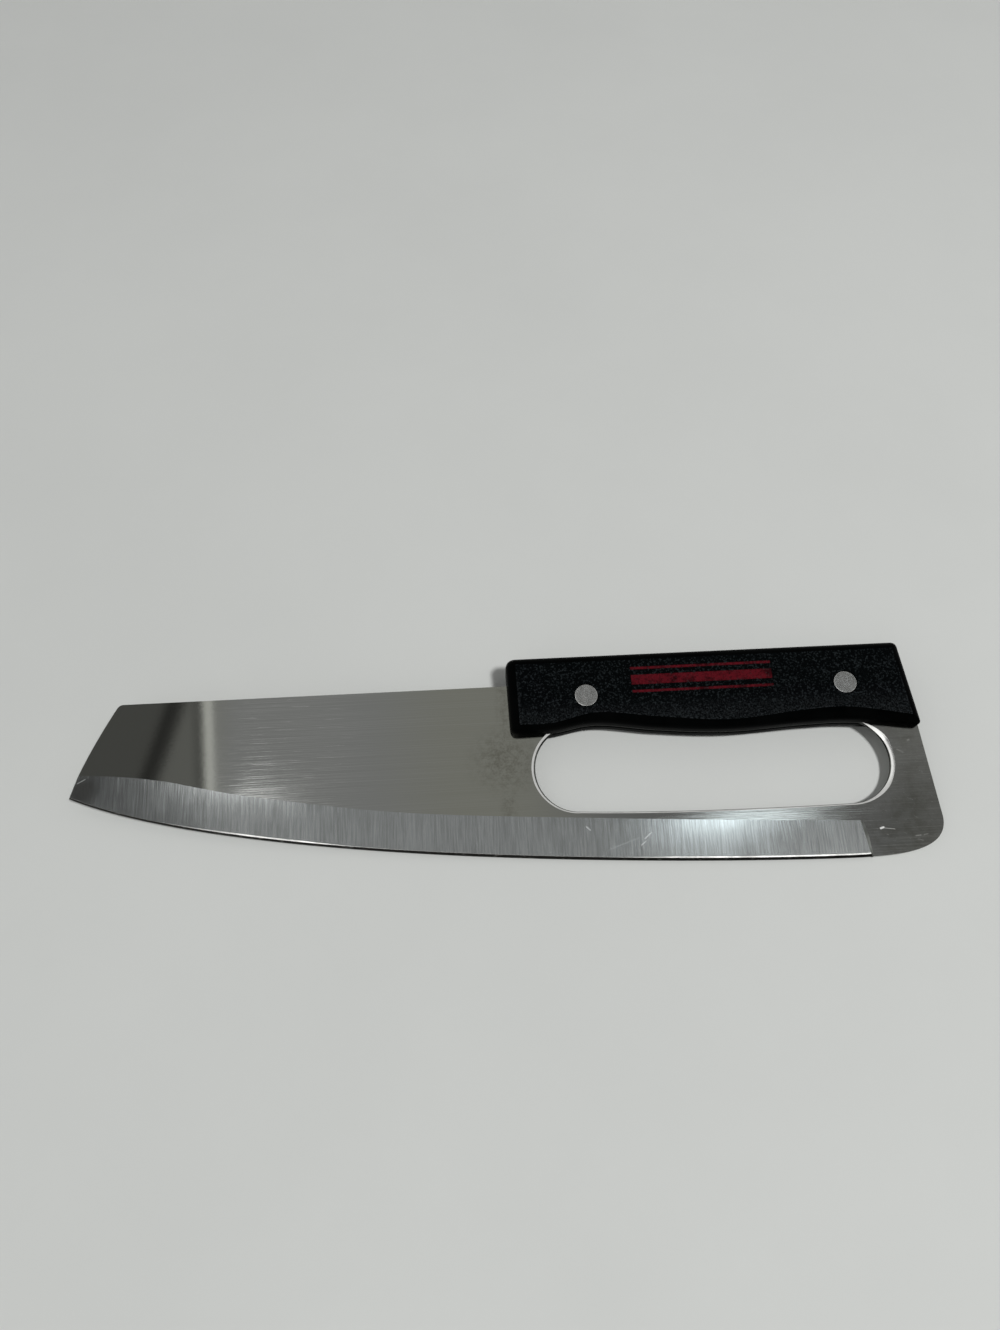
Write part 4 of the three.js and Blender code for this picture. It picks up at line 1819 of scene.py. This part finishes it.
@dataclass
class Studio:
    """Table, lamp, surroundings and camera.

    The surroundings are told by direction: x to the right, y away from the camera and z up.
    """

    table_size: float = 8.0
    table_gap: float = 0.0001
    lamps: tuple[Lamp, ...] = (
        Lamp("side_lamp", (0.73, -0.68, 2.0), (0.13, -0.01, 0.0), (0.28, 0.28), 31.5),
    )
    tint: Colour = (1.0, 1.0, 0.99)
    soft_share: float = 0.42
    round_about: float = 0.55
    left_run: Fade = Fade(-0.15, -0.6)
    left_more: float = 0.40
    screen: SoftField = SoftField(Band(0.02, 0.5, 0.05), Band(-0.8, -0.3, 0.04), -0.985)
    lights: tuple[SoftField, ...] = (
        SoftField(Band(-0.31, -0.17, 0.03), Band(-0.27, -0.13, 0.03), 1.6),
        SoftField(Band(0.15, 0.36, 0.02), Band(-0.27, -0.13, 0.03), 1.6),
        SoftField(Band(-0.65, -0.05, 0.05), Band(-0.75, -0.29, 0.03), 0.6),
    )
    overhead: float = 0.285
    overhead_edge: Fade = Fade(0.80, 0.885)
    tube: SoftField = SoftField(Band(0.177, 0.262, 0.016), Band(-0.032, 0.082, 0.02), 2.15)
    tube_lean: float = -0.55
    tube_tint: Colour = (0.86, 0.96, 1.0)
    pane: SoftField = SoftField(Band(-0.298, -0.218, 0.03), Band(0.055, 0.1, 0.02), 2.6)
    left_cloth: Fade = Fade(-0.2735, -0.2705, 0.58, 1.0)
    further_cloth: Fade = Fade(-0.372, -0.362, 0.57, 1.0)
    further_lean: float = -0.35
    seam: Band = Band(-0.3755, -0.3590, 0.005)
    seam_change: float = -0.70
    fold: Band = Band(-0.280, -0.272, 0.003)
    fold_change: float = -0.35
    slit: Band = Band(-0.2705, -0.2625, 0.0025)
    slit_change: float = 1.3
    right_cloth: Fade = Fade(0.37, 0.31, 0.78, 1.0)
    right_dim: Fade = Fade(0.02, 0.15, 1.0, 0.63)
    right_split: Fade = Fade(-0.015, 0.035)
    right_below: Fade = Fade(0.22, 0.33, 1.0, 1.25)
    right_above: Fade = Fade(0.34, 0.38, 0.0, 0.6)
    right_above_rows: Band = Band(0.115, 0.155, 0.02)
    eye: Triple = (-0.006789, -0.140766, 0.328062)
    turn: Triple = (0.51206, 0.003423, -0.051442)
    lens: float = 27.068
    sensor: float = 36.0
    nearest: float = 0.01

    def build(self) -> None:
        """Sets everything up."""
        self.lay_table()
        for lamp in self.lamps:
            lamp.build()
        self.light_round()
        self.set_camera()

    def lay_table(self) -> None:
        """Lays a plain pale table under the knife."""
        mesh = bmesh.new()
        bmesh.ops.create_grid(mesh, x_segments=1, y_segments=1, size=self.table_size / 2)
        bmesh.ops.translate(mesh, vec=(0, 0, -self.table_gap), verts=mesh.verts)
        data = bpy.data.meshes.new("table")
        mesh.to_mesh(data)
        mesh.free()
        data.materials.append(PaleTable("pale_table", Matrix.Identity(4)).material())
        table = bpy.data.objects.new("table", data)
        bpy.context.scene.collection.objects.link(table)

    def light_round(self) -> None:
        """Surrounds the table with soft light: bright on the left, dim overhead, dark behind the camera."""
        world = bpy.data.worlds.new("studio")
        bpy.context.scene.world = world
        world.use_nodes = True
        nodes = Nodes(world.node_tree)
        x, y, z = nodes.axes(nodes.add("ShaderNodeTexCoord").outputs["Generated"])
        sides = nodes.total(self.round_about, (nodes.ramp(x, self.left_run), self.left_more))
        tube, tube_level = self.tube.part(nodes, nodes.total(x, (y, self.tube_lean)), y)
        ceiling = nodes.total(self.overhead_level(nodes, x, y), (tube, tube_level))
        level = nodes.blend(nodes.ramp(z, self.overhead_edge), sides, ceiling)
        level = nodes.product(level, nodes.total(1.0, self.screen.part(nodes, x, y)))
        level = nodes.total(level, *(light.part(nodes, x, y) for light in self.lights))
        path = nodes.add("ShaderNodeLightPath").outputs
        seen = nodes.largest(path["Is Camera Ray"], path["Is Glossy Ray"])
        level = nodes.product(level, nodes.ramp(seen, Fade(0.0, 1.0, self.soft_share, 1.0)))
        colour = nodes.mix(tube, self.tint, self.tube_tint)
        nodes.feed(nodes.tree.nodes["Background"], {"Color": colour, "Strength": level})

    def overhead_level(self, nodes: Nodes, x: NodeSocket, y: NodeSocket) -> NodeSocket:
        """Brightness overhead: even in the middle, with dark cloths to the left and right of it.

        Args:
            nodes: Writer of the surroundings' nodes.
            x: Direction to the right.
            y: Direction away from the camera.

        Returns:
            The brightness in each direction.
        """
        above = nodes.product(nodes.ramp(x, self.right_above), nodes.band(y, self.right_above_rows))
        right = nodes.product(
            nodes.ramp(x, self.right_cloth), nodes.ramp(x, self.right_dim), nodes.maths("ADD", above, 1.0))
        right = nodes.blend(nodes.ramp(y, self.right_split), nodes.ramp(x, self.right_below), right)
        slant = nodes.total(x, (y, self.further_lean))
        ceiling = nodes.product(
            self.overhead,
            nodes.ramp(x, self.left_cloth),
            nodes.ramp(slant, self.further_cloth),
            right,
            nodes.total(1.0, (nodes.band(slant, self.seam), self.seam_change)),
            nodes.total(1.0, (nodes.band(x, self.fold), self.fold_change)),
            nodes.total(1.0, (nodes.band(x, self.slit), self.slit_change)),
        )
        return nodes.total(ceiling, self.pane.part(nodes, x, y))

    def set_camera(self) -> None:
        """Looks at the knife from where the photograph was taken."""
        data = bpy.data.cameras.new("photo_camera")
        data.sensor_width = self.sensor
        data.lens = self.lens
        data.clip_start = self.nearest
        camera = bpy.data.objects.new("photo_camera", data)
        camera.location = self.eye
        camera.rotation_euler = self.turn
        bpy.context.scene.collection.objects.link(camera)
        bpy.context.scene.camera = camera
        bpy.context.scene.view_settings.view_transform = "Standard"


def main() -> None:
    """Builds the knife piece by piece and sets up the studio."""
    logging.basicConfig(level=logging.INFO, format="%(name)s %(message)s")
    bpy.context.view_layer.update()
    plan = Plan()
    lie = Lie().matrix()
    EFFECTS.build()
    Blade(plan, lie).build([
        SatinSteel("satin_steel", lie).material(),
        GroundSteel("ground_steel", lie).material(),
        PolishedSteel("polished_steel", lie).material(),
        PunchedSteel("punched_steel", lie).material(),
        WhettedSteel("whetted_steel", lie).material(),
    ])
    smooth = SmoothPlastic("smooth_plastic", lie).material()
    faces = {
        Side.LEFT: PebbledPlastic("pebbled_plastic_left", lie, printed=True),
        Side.RIGHT: PebbledPlastic("pebbled_plastic_right", lie),
    }
    for side, finish in faces.items():
        Scale(plan, lie, side=side).build([finish.material(), smooth])
    for place in Place:
        rivet = Rivet(plan, lie, place=place)
        metal = RivetMetal(f"rivet_metal_{place.value}", lie, tuple(rivet.centre))
        rivet.build([metal.material()])
    Studio().build()


if __name__ == "__main__":
    main()
